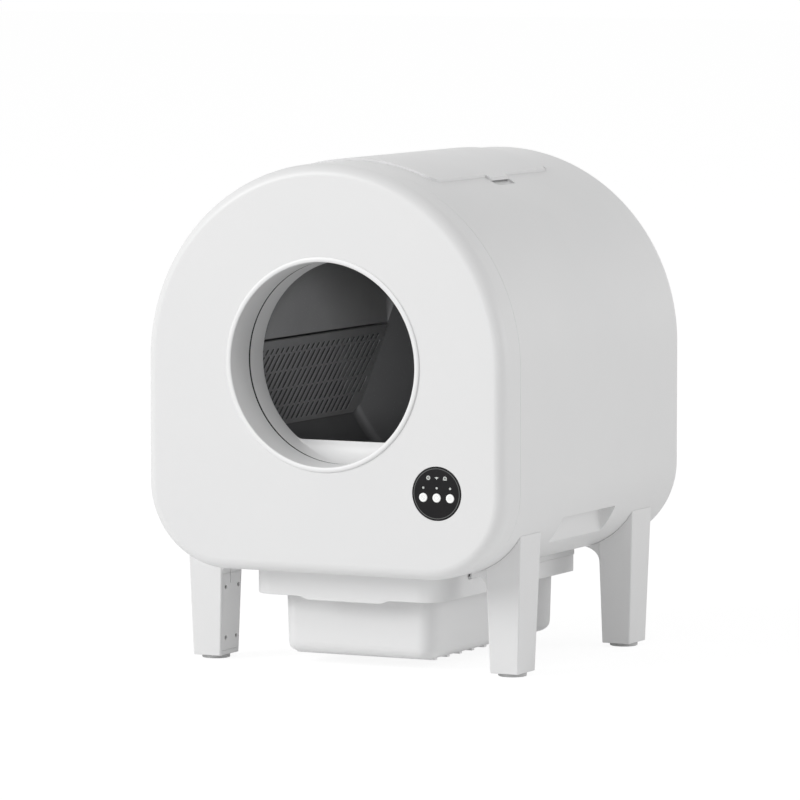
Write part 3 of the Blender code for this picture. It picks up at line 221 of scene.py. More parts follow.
def carved(bm, joins=(), keeps=(), cuts=()):  # joined to, trimmed to and cut by other meshes
    target = placed("scratch", meshOf("scratch", bm))
    tools = []
    for operation, meshes in (("UNION", joins), ("INTERSECT", keeps), ("DIFFERENCE", cuts)):
        for mesh in meshes:
            tool = placed("scratch", meshOf("scratch", mesh))
            tools.append(tool)
            modifier = target.modifiers.new(operation, "BOOLEAN")
            modifier.operation = operation
            modifier.object = tool
    evaluated = target.evaluated_get(bpy.context.evaluated_depsgraph_get())
    result = bmesh.new()
    result.from_mesh(evaluated.to_mesh())
    for obj in (target, *tools):
        mesh = obj.data
        bpy.data.objects.remove(obj)
        bpy.data.meshes.remove(mesh)
    bmesh.ops.remove_doubles(result, verts=result.verts, dist=2e-6)
    bmesh.ops.dissolve_degenerate(result, dist=2e-6, edges=result.edges)
    return result


def finished(name, bm, finish, nodes=(), body=None, sharp=32):
    # names a piece, smooths it, and lets it ride in place of its CAD nodes
    mesh = meshOf(name, bm)
    mesh.materials.append(finishes[finish])
    mesh.shade_smooth()
    mesh.set_sharp_from_angle(angle=radians(sharp))
    obj = placed(name, mesh)
    normals = obj.modifiers.new("normals", "WEIGHTED_NORMAL")
    normals.keep_sharp = True
    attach(obj, body or nodeBody[nodes[0]])
    if nodes:
        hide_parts(*nodes)
    return obj


def camel(node):
    first, *rest = node.split("_")
    return first + "".join(word.capitalize() for word in rest)


def standsFor(node, bm, finish="whitePlastic", sharp=32):  # in place of the CAD node it is named after
    return finished(camel(node), bm, finish, [node], sharp=sharp)


# Materials

def newGroup(name, inputs, outputs):  # takes a vector and numbers, and puts out numbers
    group = bpy.data.node_groups.new(name, "ShaderNodeTree")
    group.interface.new_socket("Vector", in_out="INPUT", socket_type="NodeSocketVector")
    for label, value in inputs.items():
        socket = group.interface.new_socket(label, in_out="INPUT", socket_type="NodeSocketFloat")
        socket.default_value = value
    for label in outputs:
        group.interface.new_socket(label, in_out="OUTPUT", socket_type="NodeSocketFloat")
    return group, group.nodes.new("NodeGroupInput").outputs, group.nodes.new("NodeGroupOutput").inputs


def addNode(tree, kind, inputs=None, group=None, **settings):
    # each input is a value or the socket that feeds it
    node = tree.nodes.new("ShaderNode" + kind)
    if group:
        node.node_tree = group
    for name, value in settings.items():
        setattr(node, name, value)
    for label, value in (inputs or {}).items():
        if isinstance(value, bpy.types.NodeSocket):
            tree.links.new(value, node.inputs[label])
        else:
            node.inputs[label].default_value = value
    return node


def mouldedSurfaceGroup():
    # fine moulded grain, and slow patches where the gloss and tone drift
    group, entry, exit = newGroup(
        "mouldedSurface", {"Grain": 900.0, "Patch": 7.0, "Spread": 0.5}, ("Height", "Patches"))
    grain = addNode(group, "TexNoise", {
        "Detail": 3, "Roughness": 0.6, "Vector": entry["Vector"], "Scale": entry["Grain"]})
    patch = addNode(group, "TexNoise", {"Detail": 4, "Vector": entry["Vector"], "Scale": entry["Patch"]})
    spread = addNode(group, "MapRange", {"From Min": 0.3, "From Max": 0.7, "Value": patch.outputs["Fac"]})
    share = addNode(group, "Math", {0: spread.outputs["Result"], 1: entry["Spread"]}, operation="MULTIPLY")
    group.links.new(grain.outputs["Fac"], exit["Height"])
    group.links.new(share.outputs["Value"], exit["Patches"])
    return group


def specksGroup():
    # sparse small specks, such as dust or filler in a moulding
    group, entry, exit = newGroup("specks", {"Scale": 400.0, "Amount": 0.1}, ("Mask",))
    cells = addNode(group, "TexVoronoi", {"Vector": entry["Vector"], "Scale": entry["Scale"]})
    near = addNode(group, "Math", {0: cells.outputs["Distance"], 1: entry["Amount"]}, operation="LESS_THAN")
    group.links.new(near.outputs["Value"], exit["Mask"])
    return group


surfaceGroup = mouldedSurfaceGroup()
specksNode = specksGroup()

finishLook = {
    # colour, second colour, roughness from and to, metallic, grain and patches per metre, bump in metres
    "whitePlastic": ((0.800, 0.800, 0.800), (0.785, 0.786, 0.788), 0.36, 0.46, 0.0, 1500, 6, 0.00003),
    # A lighter copy of the white plastic: painted light on the drawer, which sits in the body's shade.
    "litBinPlastic": ((0.850, 0.850, 0.850), (0.835, 0.836, 0.838), 0.36, 0.46, 0.0, 1500, 6, 0.00003),
    # The guard, the sieve and the drum's shell are one dark plastic in three tones that paint the light and shade
    # inside the drum: lightest on the guard near the entry, darkest on the shell.
    "darkPlastic": ((0.240, 0.241, 0.245), (0.215, 0.216, 0.221), 0.44, 0.58, 0.0, 1100, 9, 0.00010),
    "sievePlastic": ((0.200, 0.201, 0.205), (0.184, 0.185, 0.189), 0.48, 0.60, 0.0, 1100, 9, 0.00010),
    "shadedDrumPlastic": ((0.098, 0.099, 0.102), (0.089, 0.090, 0.093), 0.50, 0.62, 0.0, 1100, 9, 0.00010),
    # Near black on the drum's front wall: painted shade for the dark gap between the tunnel's end and the collar.
    "gapShadeBlack": ((0.018, 0.018, 0.019), (0.022, 0.022, 0.023), 0.50, 0.62, 0.0, 1100, 9, 0.00010),
    "blackGloss": ((0.010, 0.010, 0.011), (0.013, 0.012, 0.013), 0.10, 0.22, 0.0, 2500, 40, 0.00000),
    "greyPrint": ((0.085, 0.090, 0.088), (0.070, 0.072, 0.072), 0.40, 0.50, 0.0, 2500, 60, 0.00001),
    "faintPrint": ((0.780, 0.780, 0.770), (0.750, 0.750, 0.740), 0.35, 0.45, 0.0, 2500, 60, 0.00001),
    "greyRubber": ((0.600, 0.600, 0.600), (0.560, 0.560, 0.560), 0.70, 0.85, 0.0, 1300, 30, 0.00012),
    "steel": ((0.620, 0.620, 0.640), (0.540, 0.540, 0.560), 0.24, 0.42, 1.0, 1600, 25, 0.00002),
    "screwSteel": ((0.300, 0.300, 0.310), (0.220, 0.220, 0.230), 0.30, 0.45, 1.0, 1600, 60, 0.00002),
    "gearPlastic": ((0.720, 0.700, 0.640), (0.680, 0.660, 0.600), 0.38, 0.50, 0.0, 1500, 20, 0.00003),
    "circuitBoard": ((0.020, 0.160, 0.070), (0.014, 0.120, 0.052), 0.35, 0.50, 0.0, 900, 90, 0.00003),
    "lightGuide": ((0.930, 0.935, 0.930), (0.900, 0.905, 0.900), 0.20, 0.30, 0.0, 2500, 40, 0.00001),
    "palePrint": ((0.620, 0.640, 0.620), (0.560, 0.580, 0.560), 0.35, 0.45, 0.0, 2500, 60, 0.00001),
}


speckled = ("darkPlastic", "sievePlastic", "shadedDrumPlastic", "greyRubber", "circuitBoard")
finishExtras = {
    "brushStretch": 0.04,  # brushed sheet is drawn out along the height
    "speckScale": 260,
    "speckAmount": 0.10,
    "bumpStrength": 0.35,
    "glossSpecular": 0.2,
    "guideGlow": 0.12,
}


def makeFinish(name):
    first, second, smoothest, roughest, metallic, grain, patch, bump = finishLook[name]
    made = bpy.data.materials.new(name)
    made.use_nodes = True
    tree = made.node_tree
    link = tree.links.new
    shader = tree.nodes["Principled BSDF"].inputs
    shader["Metallic"].default_value = metallic
    place = addNode(tree, "TexCoord").outputs["Object"]
    vector = place
    if name == "steel":
        stretch = (1, 1, finishExtras["brushStretch"])
        vector = addNode(tree, "Mapping", {"Scale": stretch, "Vector": place}).outputs["Vector"]
    surface = addNode(
        tree, "Group", {"Vector": vector, "Grain": grain, "Patch": patch, "Spread": 1.0}, surfaceGroup)
    patches = surface.outputs["Patches"]
    tone = addNode(tree, "Mix", {"A": (*first, 1), "B": (*second, 1), "Factor": patches}, data_type="RGBA")
    colour = tone.outputs["Result"]
    if name in speckled:  # pale specks in the moulding
        specks = addNode(tree, "Group", {
            "Vector": place, "Scale": finishExtras["speckScale"],
            "Amount": finishExtras["speckAmount"]}, specksNode)
        pale = (*[min(1, c * 1.5 + 0.01) for c in first], 1)
        speckle = addNode(
            tree, "Mix", {"B": pale, "Factor": specks.outputs["Mask"], "A": colour}, data_type="RGBA")
        colour = speckle.outputs["Result"]
    link(colour, shader["Base Color"])
    rough = addNode(tree, "MapRange", {"To Min": smoothest, "To Max": roughest, "Value": patches})
    link(rough.outputs["Result"], shader["Roughness"])
    if bump:
        relief = addNode(tree, "Bump", {
            "Strength": finishExtras["bumpStrength"], "Distance": bump,
            "Height": surface.outputs["Height"]})
        link(relief.outputs["Normal"], shader["Normal"])
    if name == "blackGloss":
        shader["Specular IOR Level"].default_value = finishExtras["glossSpecular"]
    if name == "lightGuide":
        shader["Emission Color"].default_value = (1, 1, 1, 1)
        shader["Emission Strength"].default_value = finishExtras["guideGlow"]
    return made


finishes = {name: makeFinish(name) for name in finishLook}
print("materials made,", len(finishes))


# Outer casing

def bodyLoop(bm, inset, y):
    # outline of the body seen from the front: an arch on two rounded corners
    known = set(bm.edges)
    half = halfWidth - inset
    sides = halfWidth - bodyForm["corner"]
    lowZ = undersideZ + bodyForm["corner"]
    arcs = (
        ((half, axisZ), (0, axisZ), pi, bodyForm["archSteps"]),
        ((-half, lowZ), (-sides, lowZ), pi / 2, bodyForm["cornerSteps"]),
        ((sides, undersideZ + inset), (sides, lowZ), pi / 2, bodyForm["cornerSteps"]),
    )
    ends = []
    for start, centre, angle, steps in arcs:
        first = bm.verts.new((start[0], y, start[1]))
        spun = bmesh.ops.spin(
            bm, geom=[first], cent=(centre[0], y, centre[1]), axis=(0, -1, 0), angle=angle, steps=steps)
        ends.append((first, vertsOf(spun["geom_last"])[0]))
    for (_, last), (first, _) in zip(ends, ends[1:] + ends[:1]):
        bm.edges.new((last, first))
    return [edge for edge in bm.edges if edge not in known]


def bodyShell(openY, closedY, roundness, steps):  # a cap over the body's outline, open at one end
    bm = bmesh.new()
    across, along = roundness
    way = 1 if openY > closedY else -1
    loops = [bodyLoop(bm, 0, openY)]
    for angle in quarterTurn(steps)[::-1]:
        loops.append(bodyLoop(bm, across * (1 - sin(angle)), closedY + way * along * (1 - cos(angle))))
    for first, second in zip(loops, loops[1:]):
        bmesh.ops.bridge_loops(bm, edges=first + second)
    bmesh.ops.contextual_create(bm, geom=loops[-1])
    bmesh.ops.recalc_face_normals(bm, faces=bm.faces)
    bmesh.ops.solidify(bm, geom=bm.faces[:], thickness=wall)
    return softened(bm, bodyForm["edgeSoft"], 3, 60, lying("y", openY))


def bodyPlug(inset, front, rear):  # the body's outline as a solid
    bm = bmesh.new()
    bodyLoop(bm, inset, frontY + front)
    faces = bmesh.ops.contextual_create(bm, geom=bm.edges[:])["faces"]
    return pushedOut(bm, faces, (0, rear - front, 0))


entry = {
    "radius": 0.128,
    "lipWidth": 0.0065,
    "lipProud": 0.0025,
    "lipDepth": 0.0012,  # where the bead meets the tunnel
    "tunnelWall": 0.0027,
    "tunnelEnd": 0.0478,
    "hole": 0.1311,
    "steps": 160,
}
panel = {
    "x": 0.1584,
    "z": 0.2362,
    "radius": 0.0335,
    "proud": 0.0004,
    "rear": 0.0053,
    "chamfer": 0.0006,
    "skirt": 0.0107,
    "ringRadius": 0.0311,
    "ringWidth": 0.0011,
    "notchRadius": 0.0013,
    "buttonRadius": 0.0055,
    "buttonPitch": 0.0184,
    "buttonZ": 0.2310,
    "lightZ": 0.2431,
    "lightRadius": 0.0015,
    "iconZ": 0.2556,
    "iconPitch": 0.0114,
    "printLift": 0.00006,
}


def makeFrontCover():
    seam = coverHigh.y
    bm = bodyShell(seam, frontY, bodyForm["frontRound"], 14)
    hole = bore(entry["hole"], 0, axisZ, -0.02, 0.02, entry["steps"])
    window = bore(panel["radius"] + gap, panel["x"], panel["z"], -0.02, 0.02, 96)
    standsFor("front_cover", carved(bm, cuts=[hole, window]))


def makeEntryRing():
    half = entry["lipWidth"] / 2
    inner, end = entry["radius"], entry["tunnelEnd"]
    profile = [(inner, end), (inner, entry["lipDepth"])]
    for i in range(13):  # the lip's rounded bead
        angle = pi * i / 12
        depth = -gap - (entry["lipProud"] - gap) * sin(angle) ** 0.8
        profile.append((inner + half - half * cos(angle), depth))
    outer = inner + entry["tunnelWall"]
    profile += [(outer, -gap), (outer, end)]
    standsFor("entry_ring", lathe(profile, arcCentre, steps=entry["steps"]))


lid = {
    "halfWidth": 0.1096,
    "front": 0.095,
    "rear": 0.4335,
    "corner": 0.015,
    "proud": 0.0030,
    "tabX": 0.1178,
    "tabFront": 0.2415,
    "tabRear": 0.2925,
    "tabCorner": 0.003,
    "tabRoom": (0.1040, 0.1190),  # hollow under the tab
    "tabEndWall": 0.0012,
    "ledge": 0.008,
    "edgeSoft": 0.0009,
    "reliefMiddle": (0.1073, 0.4230),  # small relief in the rear right corner
    "reliefSize": (0.0050, 0.0090),
    "reliefRound": 0.0018,
    "reliefTurn": 22,
    "spans": (28.6, 30, 32),  # degrees to each side: ledge, lid and seat, cut to shape later
    "hingeRadius": 0.0032,
    "pinRadius": 0.0013,
    "hingeDepths": (0.160, 0.365),
    "knuckle": 0.014,
    "pinReach": 0.0182,
    "footReach": (0.0010, 0.0090),  # of the barrels' feet, from the pin outwards
    "footDrops": (0.0039, 0.0125),  # below the pin, on the lid and on the housing
    "notchFront": 0.240,
    "notchRear": 0.294,
    "notchCorner": 0.005,
    "notchWall": (0.1110, 0.1320),  # reach of the wall under the notch
    # across, and distance from the arch's axis
    "notchFloor": (
        (0.1160, 0.2474), (0.1181, 0.2474), (0.1215, 0.2476), (0.1245, 0.2484), (0.1275, 0.2502)),
}
hingeX, hingeZ = jointAt["lid_hinge"].x, jointAt["lid_hinge"].z


def lidPrism(margin, lowZ, highZ):  # upright solid over the lid's outline with its finger tab
    edge = lid["halfWidth"] + margin
    plate = block(
        at(-edge, lid["front"] - margin, lowZ), at(edge, lid["rear"] + margin, highZ),
        lid["corner"] + margin, "Z", 8)
    tab = block(
        at(0, lid["tabFront"] - margin, lowZ), at(lid["tabX"] + margin, lid["tabRear"] + margin, highZ),
        lid["tabCorner"] + margin, "Z", 5)
    return carved(plate, joins=[tab])


def lidSector(inner, outer, margin, wide):  # a piece of the arch over the lid's place
    wide = radians(wide)
    return sector(inner, outer, lid["front"] - margin, lid["rear"] + margin, -wide, wide, 60)


def archZ(x, radius):  # height of a point on an arch of a radius
    return axisZ + sqrt(radius ** 2 - x ** 2)


def hingeBarrel(front, rear, side):  # a barrel and its foot on the lid (1) or the housing (-1)
    barrel = bore(lid["hingeRadius"], hingeX, hingeZ, front, rear, 32, 0.0004)
    low, high = sorted(hingeX + side * reach for reach in lid["footReach"])
    drop = lid["footDrops"][1 if side < 0 else 0]
    topZ = hingeZ - lid["hingeRadius"] * 0.25
    foot = block(at(low, front, hingeZ - drop), at(high, rear, topZ), 0.0006, None, 2)
    return carved(barrel, joins=[foot])


def hingeHole():
    front, rear = lid["hingeDepths"]
    return bore(lid["pinRadius"] + gap, hingeX, hingeZ, front - 0.03, rear + 0.03, 24)


def makeTopLid():
    inner, outer = halfWidth - wall, halfWidth + lid["proud"]
    plate = lidSector(inner, outer, 0.020, lid["spans"][1])
    plate = carved(plate, keeps=[lidPrism(0, axisZ, skyZ)])
    onTop = lambda edge: all((vert.co - arcCentre).xz.length > outer - 1e-4 for vert in edge.verts)
    softened(plate, lid["edgeSoft"], 3, 50, onTop)
    near, far = (asin(x / halfWidth) for x in lid["tabRoom"])
    tabRoom = sector(
        inner - 0.01, halfWidth, lid["tabFront"] + lid["tabEndWall"], lid["tabRear"] - lid["tabEndWall"],
        near, far, 6)
    middleX, middleDepth = lid["reliefMiddle"]
    across, along = lid["reliefSize"]
    relief = sector(
        halfWidth, outer + 0.01, middleDepth - along, middleDepth + along,
        asin((middleX - along) / halfWidth), asin((middleX + along) / halfWidth), 12)
    outline = block(
        (-across / 2, -along / 2, axisZ), (across / 2, along / 2, skyZ), lid["reliefRound"], "Z", 5)
    turn = Matrix.Rotation(radians(lid["reliefTurn"]), 4, "Z")
    place = Matrix.Translation(at(middleX, middleDepth, 0)) @ turn
    bmesh.ops.transform(outline, matrix=place, verts=outline.verts)
    relief = carved(relief, keeps=[outline])
    half = lid["knuckle"] / 2
    barrels = [hingeBarrel(depth - half, depth + half, 1) for depth in lid["hingeDepths"]]
    plate = carved(plate, joins=barrels, cuts=[hingeHole(), tabRoom, relief])
    standsFor("top_lid", plate)
    for name, depth in zip(("front", "rear"), lid["hingeDepths"]):
        reach = lid["pinReach"]
        pin = bore(lid["pinRadius"], hingeX, hingeZ, depth - reach, depth + reach, 24, 0.0003)
        finished(f"lidHingePin_{name}", pin, "steel", [f"lid_hinge_pin_{name}"])


hold = {
    "front": 0.193,
    "rear": 0.3515,
    "topZ": 0.1925,
    "x": 0.2195,
    "round": 0.004,
}
rear = {
    "halfWidth": 0.150,
    "lowZ": 0.205,
    "topZ": 0.510,
    "corner": 0.030,
    "ledge": 0.008,
    "ventHalfWidth": 0.035,
    "ventLowZ": 0.235,
    "ventPitch": 0.010,
    "ventHeight": 0.004,
    "ventCount": 6,
    "screwInset": 0.014,
    "screwRaise": 0.006,  # more inset at the top and the bottom
    "screwRadius": 0.0032,
    "screwDepth": 0.0010,
    "recessRadius": 0.0040,
    "recessDepth": 0.0014,
    "inletX": 0.125,
    "inletZ": 0.182,
    "inletRadius": 0.0075,
}


def rearPanel(margin, front, back):
    corner = rear["corner"] + margin
    return block(
        at(-rear["halfWidth"] - margin, front, rear["lowZ"] - margin),
        at(rear["halfWidth"] + margin, back, rear["topZ"] + margin), corner, "Y", 12)


def holdRoom(side, margin):  # the finger room of a hand hold, open to the side and below
    return sideBlock(
        side, hold["x"] - margin, halfWidth + 0.02, hold["front"] - margin, hold["rear"] + margin,
        undersideZ - 0.02, hold["topZ"] + margin, hold["round"] + margin, "Z", 6)


def makeHousingShell():
    seam = coverHigh.y + gap
    bm = bodyShell(seam, backY, bodyForm["rearRound"], 20)
    innerArch = halfWidth - wall
    lead, length = bodyForm["tongue"]
    tongueDepth = seam - frontY - lead
    tongue = carved(
        bodyPlug(wall + gap, tongueDepth, tongueDepth + length),
        cuts=[bodyPlug(2 * wall + gap, tongueDepth - 0.01, tongueDepth + 0.03)])
    ledge = lidSector(innerArch - wall, innerArch + 0.0008, 0.010, lid["spans"][0])
    seat = lidSector(innerArch - gap, halfWidth + 0.02, 0.020, lid["spans"][2])
    seat = carved(seat, keeps=[lidPrism(gap, axisZ, skyZ)])
    hatch = lidPrism(-lid["ledge"], axisZ + 0.1, skyZ)

    def alongNotch(section, margin):
        points = [at(x, lid["notchFront"] - margin, archZ(x, radius)) for x, radius in section]
        return prism(points, (0, lid["notchRear"] - lid["notchFront"] + 2 * margin, 0))

    # The notch's floor is deepest at the tab and curves up to the surface beside it
    wallStart, wallEnd = lid["notchWall"]
    across = (wallStart, lid["tabX"], wallEnd)
    under = [(x, innerArch - wall) for x in across] + [(x, innerArch + 0.0008) for x in across[::-1]]
    under = alongNotch(under, wall)
    floor = list(lid["notchFloor"])
    notch = alongNotch(floor + [(x, halfWidth + 0.01) for x, radius in floor[::-1]], 0)
    farEnd = [edge for edge in notch.edges if all(vert.co.x > floor[-1][0] - 1e-4 for vert in edge.verts)
              and abs(edge.verts[0].co.y - edge.verts[1].co.y) < 1e-5]
    bevelled(notch, farEnd, lid["notchCorner"], 6)

    holdBlocks = []
    holdRooms = []
    for side in (-1, 1):
        inner = bodyPlug(0.0006, hold["front"] - wall, hold["rear"] + wall)
        holdBlocks.append(carved(inner, keeps=[holdRoom(side, wall)]))
        holdRooms.append(holdRoom(side, 0))

    rearPad = rearPanel(rear["ledge"], bodyDepth - 0.0072, bodyDepth - wall + 0.0008)
    inward, outward = bodyDepth - 0.02, bodyDepth + 0.01
    rearSeat = rearPanel(gap, bodyDepth - wall - gap, outward)
    rearHole = rearPanel(-rear["ledge"], inward, outward)
    inletHole = bore(rear["inletRadius"] + gap, rear["inletX"], rear["inletZ"], inward, outward)
    half, openFront, openRear = bodyForm["underOpening"]
    underHole = block(at(-half, openFront, undersideZ - 0.01), at(half, openRear, undersideZ + 0.01))

    knuckles = []
    for depth in lid["hingeDepths"]:
        for end in (-1, 1):
            front, back = sorted((depth + end * (lid["knuckle"] / 2 + gap), depth + end * lid["pinReach"]))
            knuckles.append(hingeBarrel(front, back, -1))
    shell = carved(
        bm, joins=[tongue, ledge, under, *holdBlocks, rearPad, *knuckles],
        cuts=[seat, hatch, notch, *holdRooms, rearSeat, rearHole, inletHole, underHole, hingeHole()])
    standsFor("housing_shell", shell)


def screw(name, centre, outwards, radius, body, finish="screwSteel"):  # a round head with a cross recess
    height = radius * 0.5
    profile = [(0, -height), (radius, -height), (radius, 0)]
    for i in range(1, 6):
        angle = pi / 2 * i / 5
        profile.append((radius * cos(angle) ** 0.6 if i < 5 else 0, height * 0.7 * sin(angle)))
    head = lathe(profile, (0, 0, 0), (0, 0, 1), 32)
    arm = radius * 0.6
    cross = [
        block((-arm, -radius * 0.14, 0), (arm, radius * 0.14, height * 2)),
        block((-radius * 0.14, -arm, 0), (radius * 0.14, arm, height * 2)),
    ]
    head = carved(head, cuts=cross)
    bmesh.ops.transform(head, matrix=aimed(centre, outwards), verts=head.verts)
    return finished(name, head, finish, body=body)


def makeRearCover():
    plate = rearPanel(0, bodyDepth - wall, bodyDepth)
    softened(plate, bodyForm["edgeSoft"], 3, 60, lying("y", backY))
    vents = []
    for row in range(rear["ventCount"]):
        low = rear["ventLowZ"] + row * rear["ventPitch"]
        half = rear["ventHalfWidth"]
        vents.append(block(
            at(-half, bodyDepth - 0.01, low), at(half, bodyDepth + 0.01, low + rear["ventHeight"]),
            rear["ventHeight"] * 0.49, "Y", 5))
    recesses = []
    spots = []
    rise, recessFloor = rear["screwRaise"], bodyDepth - rear["recessDepth"]
    for x in (rear["screwInset"] - rear["halfWidth"], rear["halfWidth"] - rear["screwInset"]):
        for z in (rear["lowZ"] + rear["screwInset"] + rise, rear["topZ"] - rear["screwInset"] - rise):
            spots.append((x, z))
            recesses.append(bore(rear["recessRadius"], x, z, recessFloor, bodyDepth + 0.01, 32))
    standsFor("rear_cover", carved(plate, cuts=[*vents, *recesses]))
    for number, (x, z) in enumerate(spots):
        spot = at(x, bodyDepth - rear["screwDepth"], z)
        screw(f"rearScrew_{number}", spot, (0, 1, 0), rear["screwRadius"], "housing")


def makePowerInlet():
    radius = rear["inletRadius"]
    end = bodyDepth
    profile = [
        (0, end - 0.0180), (radius, end - 0.0180), (radius, end - 0.0002), (radius - 0.0003, end + 0.0002),
        (0.0034, end + 0.0002), (0.0030, end - 0.0003), (0.0030, end - 0.0140), (0.0010, end - 0.0140),
        (0.0010, end - 0.0034), (0.0006, end - 0.0030), (0, end - 0.0030),
    ]
    standsFor("power_inlet", lathe(profile, at(rear["inletX"], 0, rear["inletZ"]), steps=64), "blackGloss")


makeFrontCover()
makeEntryRing()
makeTopLid()
makeHousingShell()
makeRearCover()
makePowerInlet()
print("casing made")


# Drum

drum = {
    "outer": 0.217,
    "wall": 0.0035,
    "front": 0.0505,
    "backWall": 0.4645,
    "fillet": 0.012,
    "frontWall": 0.0025,
    "frontWallShift": (0.0008, 0.0006),  # how far its hole and its face come in
    "steps": 180,
    "collarRadius": 0.1265,
    "collarMouth": 0.1290,
    "collarWall": 0.0030,
    "collarFront": 0.0533,
    "collarRear": 0.0840,
    "damDrop": 0.1022,
    "damLip": 0.0030,
    "damBlend": 0.005,
    "sheet": 0.0025,
    "portHalfWidth": 0.080,
    "portFront": 0.165,
    "portRear": 0.355,
    "portCorner": 0.008,
}


shellFront = drum["front"] + drum["frontWall"] + gap


def filletPoints(radius, end, fillet):  # the rounded corner of a turned profile, from its side to its end
    return [(radius - fillet * (1 - cos(turn)), end - fillet * (1 - sin(turn))) for turn in quarterTurn(8)]


def insideProfile(margin):  # the drum's inside from its front to the middle of its back
    inner = drum["outer"] - drum["wall"] - margin
    back = drum["backWall"] - margin
    return [(inner, shellFront), *filletPoints(inner, back, drum["fillet"]), (0, back)]


def makeDrumShell():
    outer, end = drum["outer"], drum["backWall"] + drum["wall"]
    corner = filletPoints(outer, end, drum["fillet"] + drum["wall"])
    profile = [*insideProfile(0), (0, end), *corner[::-1], (outer, shellFront)]
    shell = lathe(profile, arcCentre, steps=drum["steps"])
    port = block(
        at(-drum["portHalfWidth"], drum["portFront"], axisZ + 0.1),
        at(drum["portHalfWidth"], drum["portRear"], skyZ), drum["portCorner"], "Z", 8)
    # The shell takes the darkest tone of the dark plastic: painted shade on the back wall and behind the sieve.
    standsFor("drum_shell", carved(shell, cuts=[port]), "shadedDrumPlastic")
    narrower, nearer = drum["frontWallShift"]
    hole, front = drum["collarMouth"] - narrower, drum["front"] - nearer
    back = front + drum["frontWall"]
    profile = [(hole, front), (outer, front), (outer, back), (hole, back)]
    disc = lathe(profile, arcCentre, steps=drum["steps"])
    # The front wall is near black, painted shade in the gap behind the tunnel's end.
    standsFor("drum_front_wall", softened(disc, 0.0005, 2, 60), "gapShadeBlack")


def makeDrumCollar():
    # A tube whose inside rises at the bottom into the litter dam, with no crease where they meet
    mouth, inner, thick = drum["collarMouth"], drum["collarRadius"], drum["collarWall"]
    front, back = drum["collarFront"], drum["collarRear"]
    foot = front + 0.002
    run = back - drum["sheet"] - foot

    def insideAt(depth):
        return mouth + (inner - mouth) * (depth - front) / (back - front)

    depths = [front + 0.0006, foot - 0.0008]
    depths += [foot + run * sin(turn) for turn in quarterTurn(18)]
    depths += [foot + run + 0.0002, back - 0.0004]
    profile = [(mouth + 0.0006, front)] + [(insideAt(depth), depth) for depth in depths]
    profile += [(inner + 0.0003, back), (inner + thick, back), (mouth + thick, front)]
    bm = lathe(profile, arcCentre, steps=240)
    low = axisZ - mouth - 0.0003
    rise = axisZ - drum["damDrop"] - drum["damLip"] - low
    blend = drum["damBlend"]
    for vert in bm.verts:
        depth = vert.co.y - frontY
        radius = (vert.co - at(0, depth, axisZ)).length
        if radius > insideAt(depth) + thick - 0.001 or vert.co.z > axisZ:
            continue
        share = min(1, max(0, (depth - foot) / run))
        floor = low + rise * (1 - sqrt(max(0, 1 - share * share)))
        if depth > foot + run + 0.0001:
            floor = axisZ - drum["damDrop"] - (0.0003 if depth > back - 0.0002 else 0)
        reach = blend * share
        apart = max(reach - abs(vert.co.z - floor), 0) / reach if reach > 1e-6 else 0
        vert.co.z = max(vert.co.z, floor) + apart ** 3 * reach / 6
    standsFor("drum_collar", cleaned(bm), sharp=50)


sieve = {
    "top": (-0.1380, 0.0155),
    "lean": 21.2,
    "length": 0.1260,
    "front": 0.0615,
    "rear": 0.4620,
    "chamfer": (0.012, 0.014),
    "slotPitch": 0.01423,
    "slotWidth": 0.0066,
    "slotRound": 0.0019,
    "slant": 0.31,
    "perRow": 27,
    "firstSlot": 0.0713,
    "slotMargins": (0.004, 0.018),  # to the rear edge, and where the cut corner starts to count
    "rim": (0.004, 0.0095, 0.005, 0.0045),  # the thicker edge's front, top, rear and bottom
    "rimRound": 0.006,
    "screwAt": (0.4575, 0.0075),  # along the depth and down the sheet
    "screwRadius": 0.0016,
    "field": 0.0006,  # thickness between the slots
    "rows": ((0.0115, 0.0080), (0.0215, 0.0232), (0.0470, 0.0240), (0.0733, 0.0232), (0.0990, 0.0205)),
}


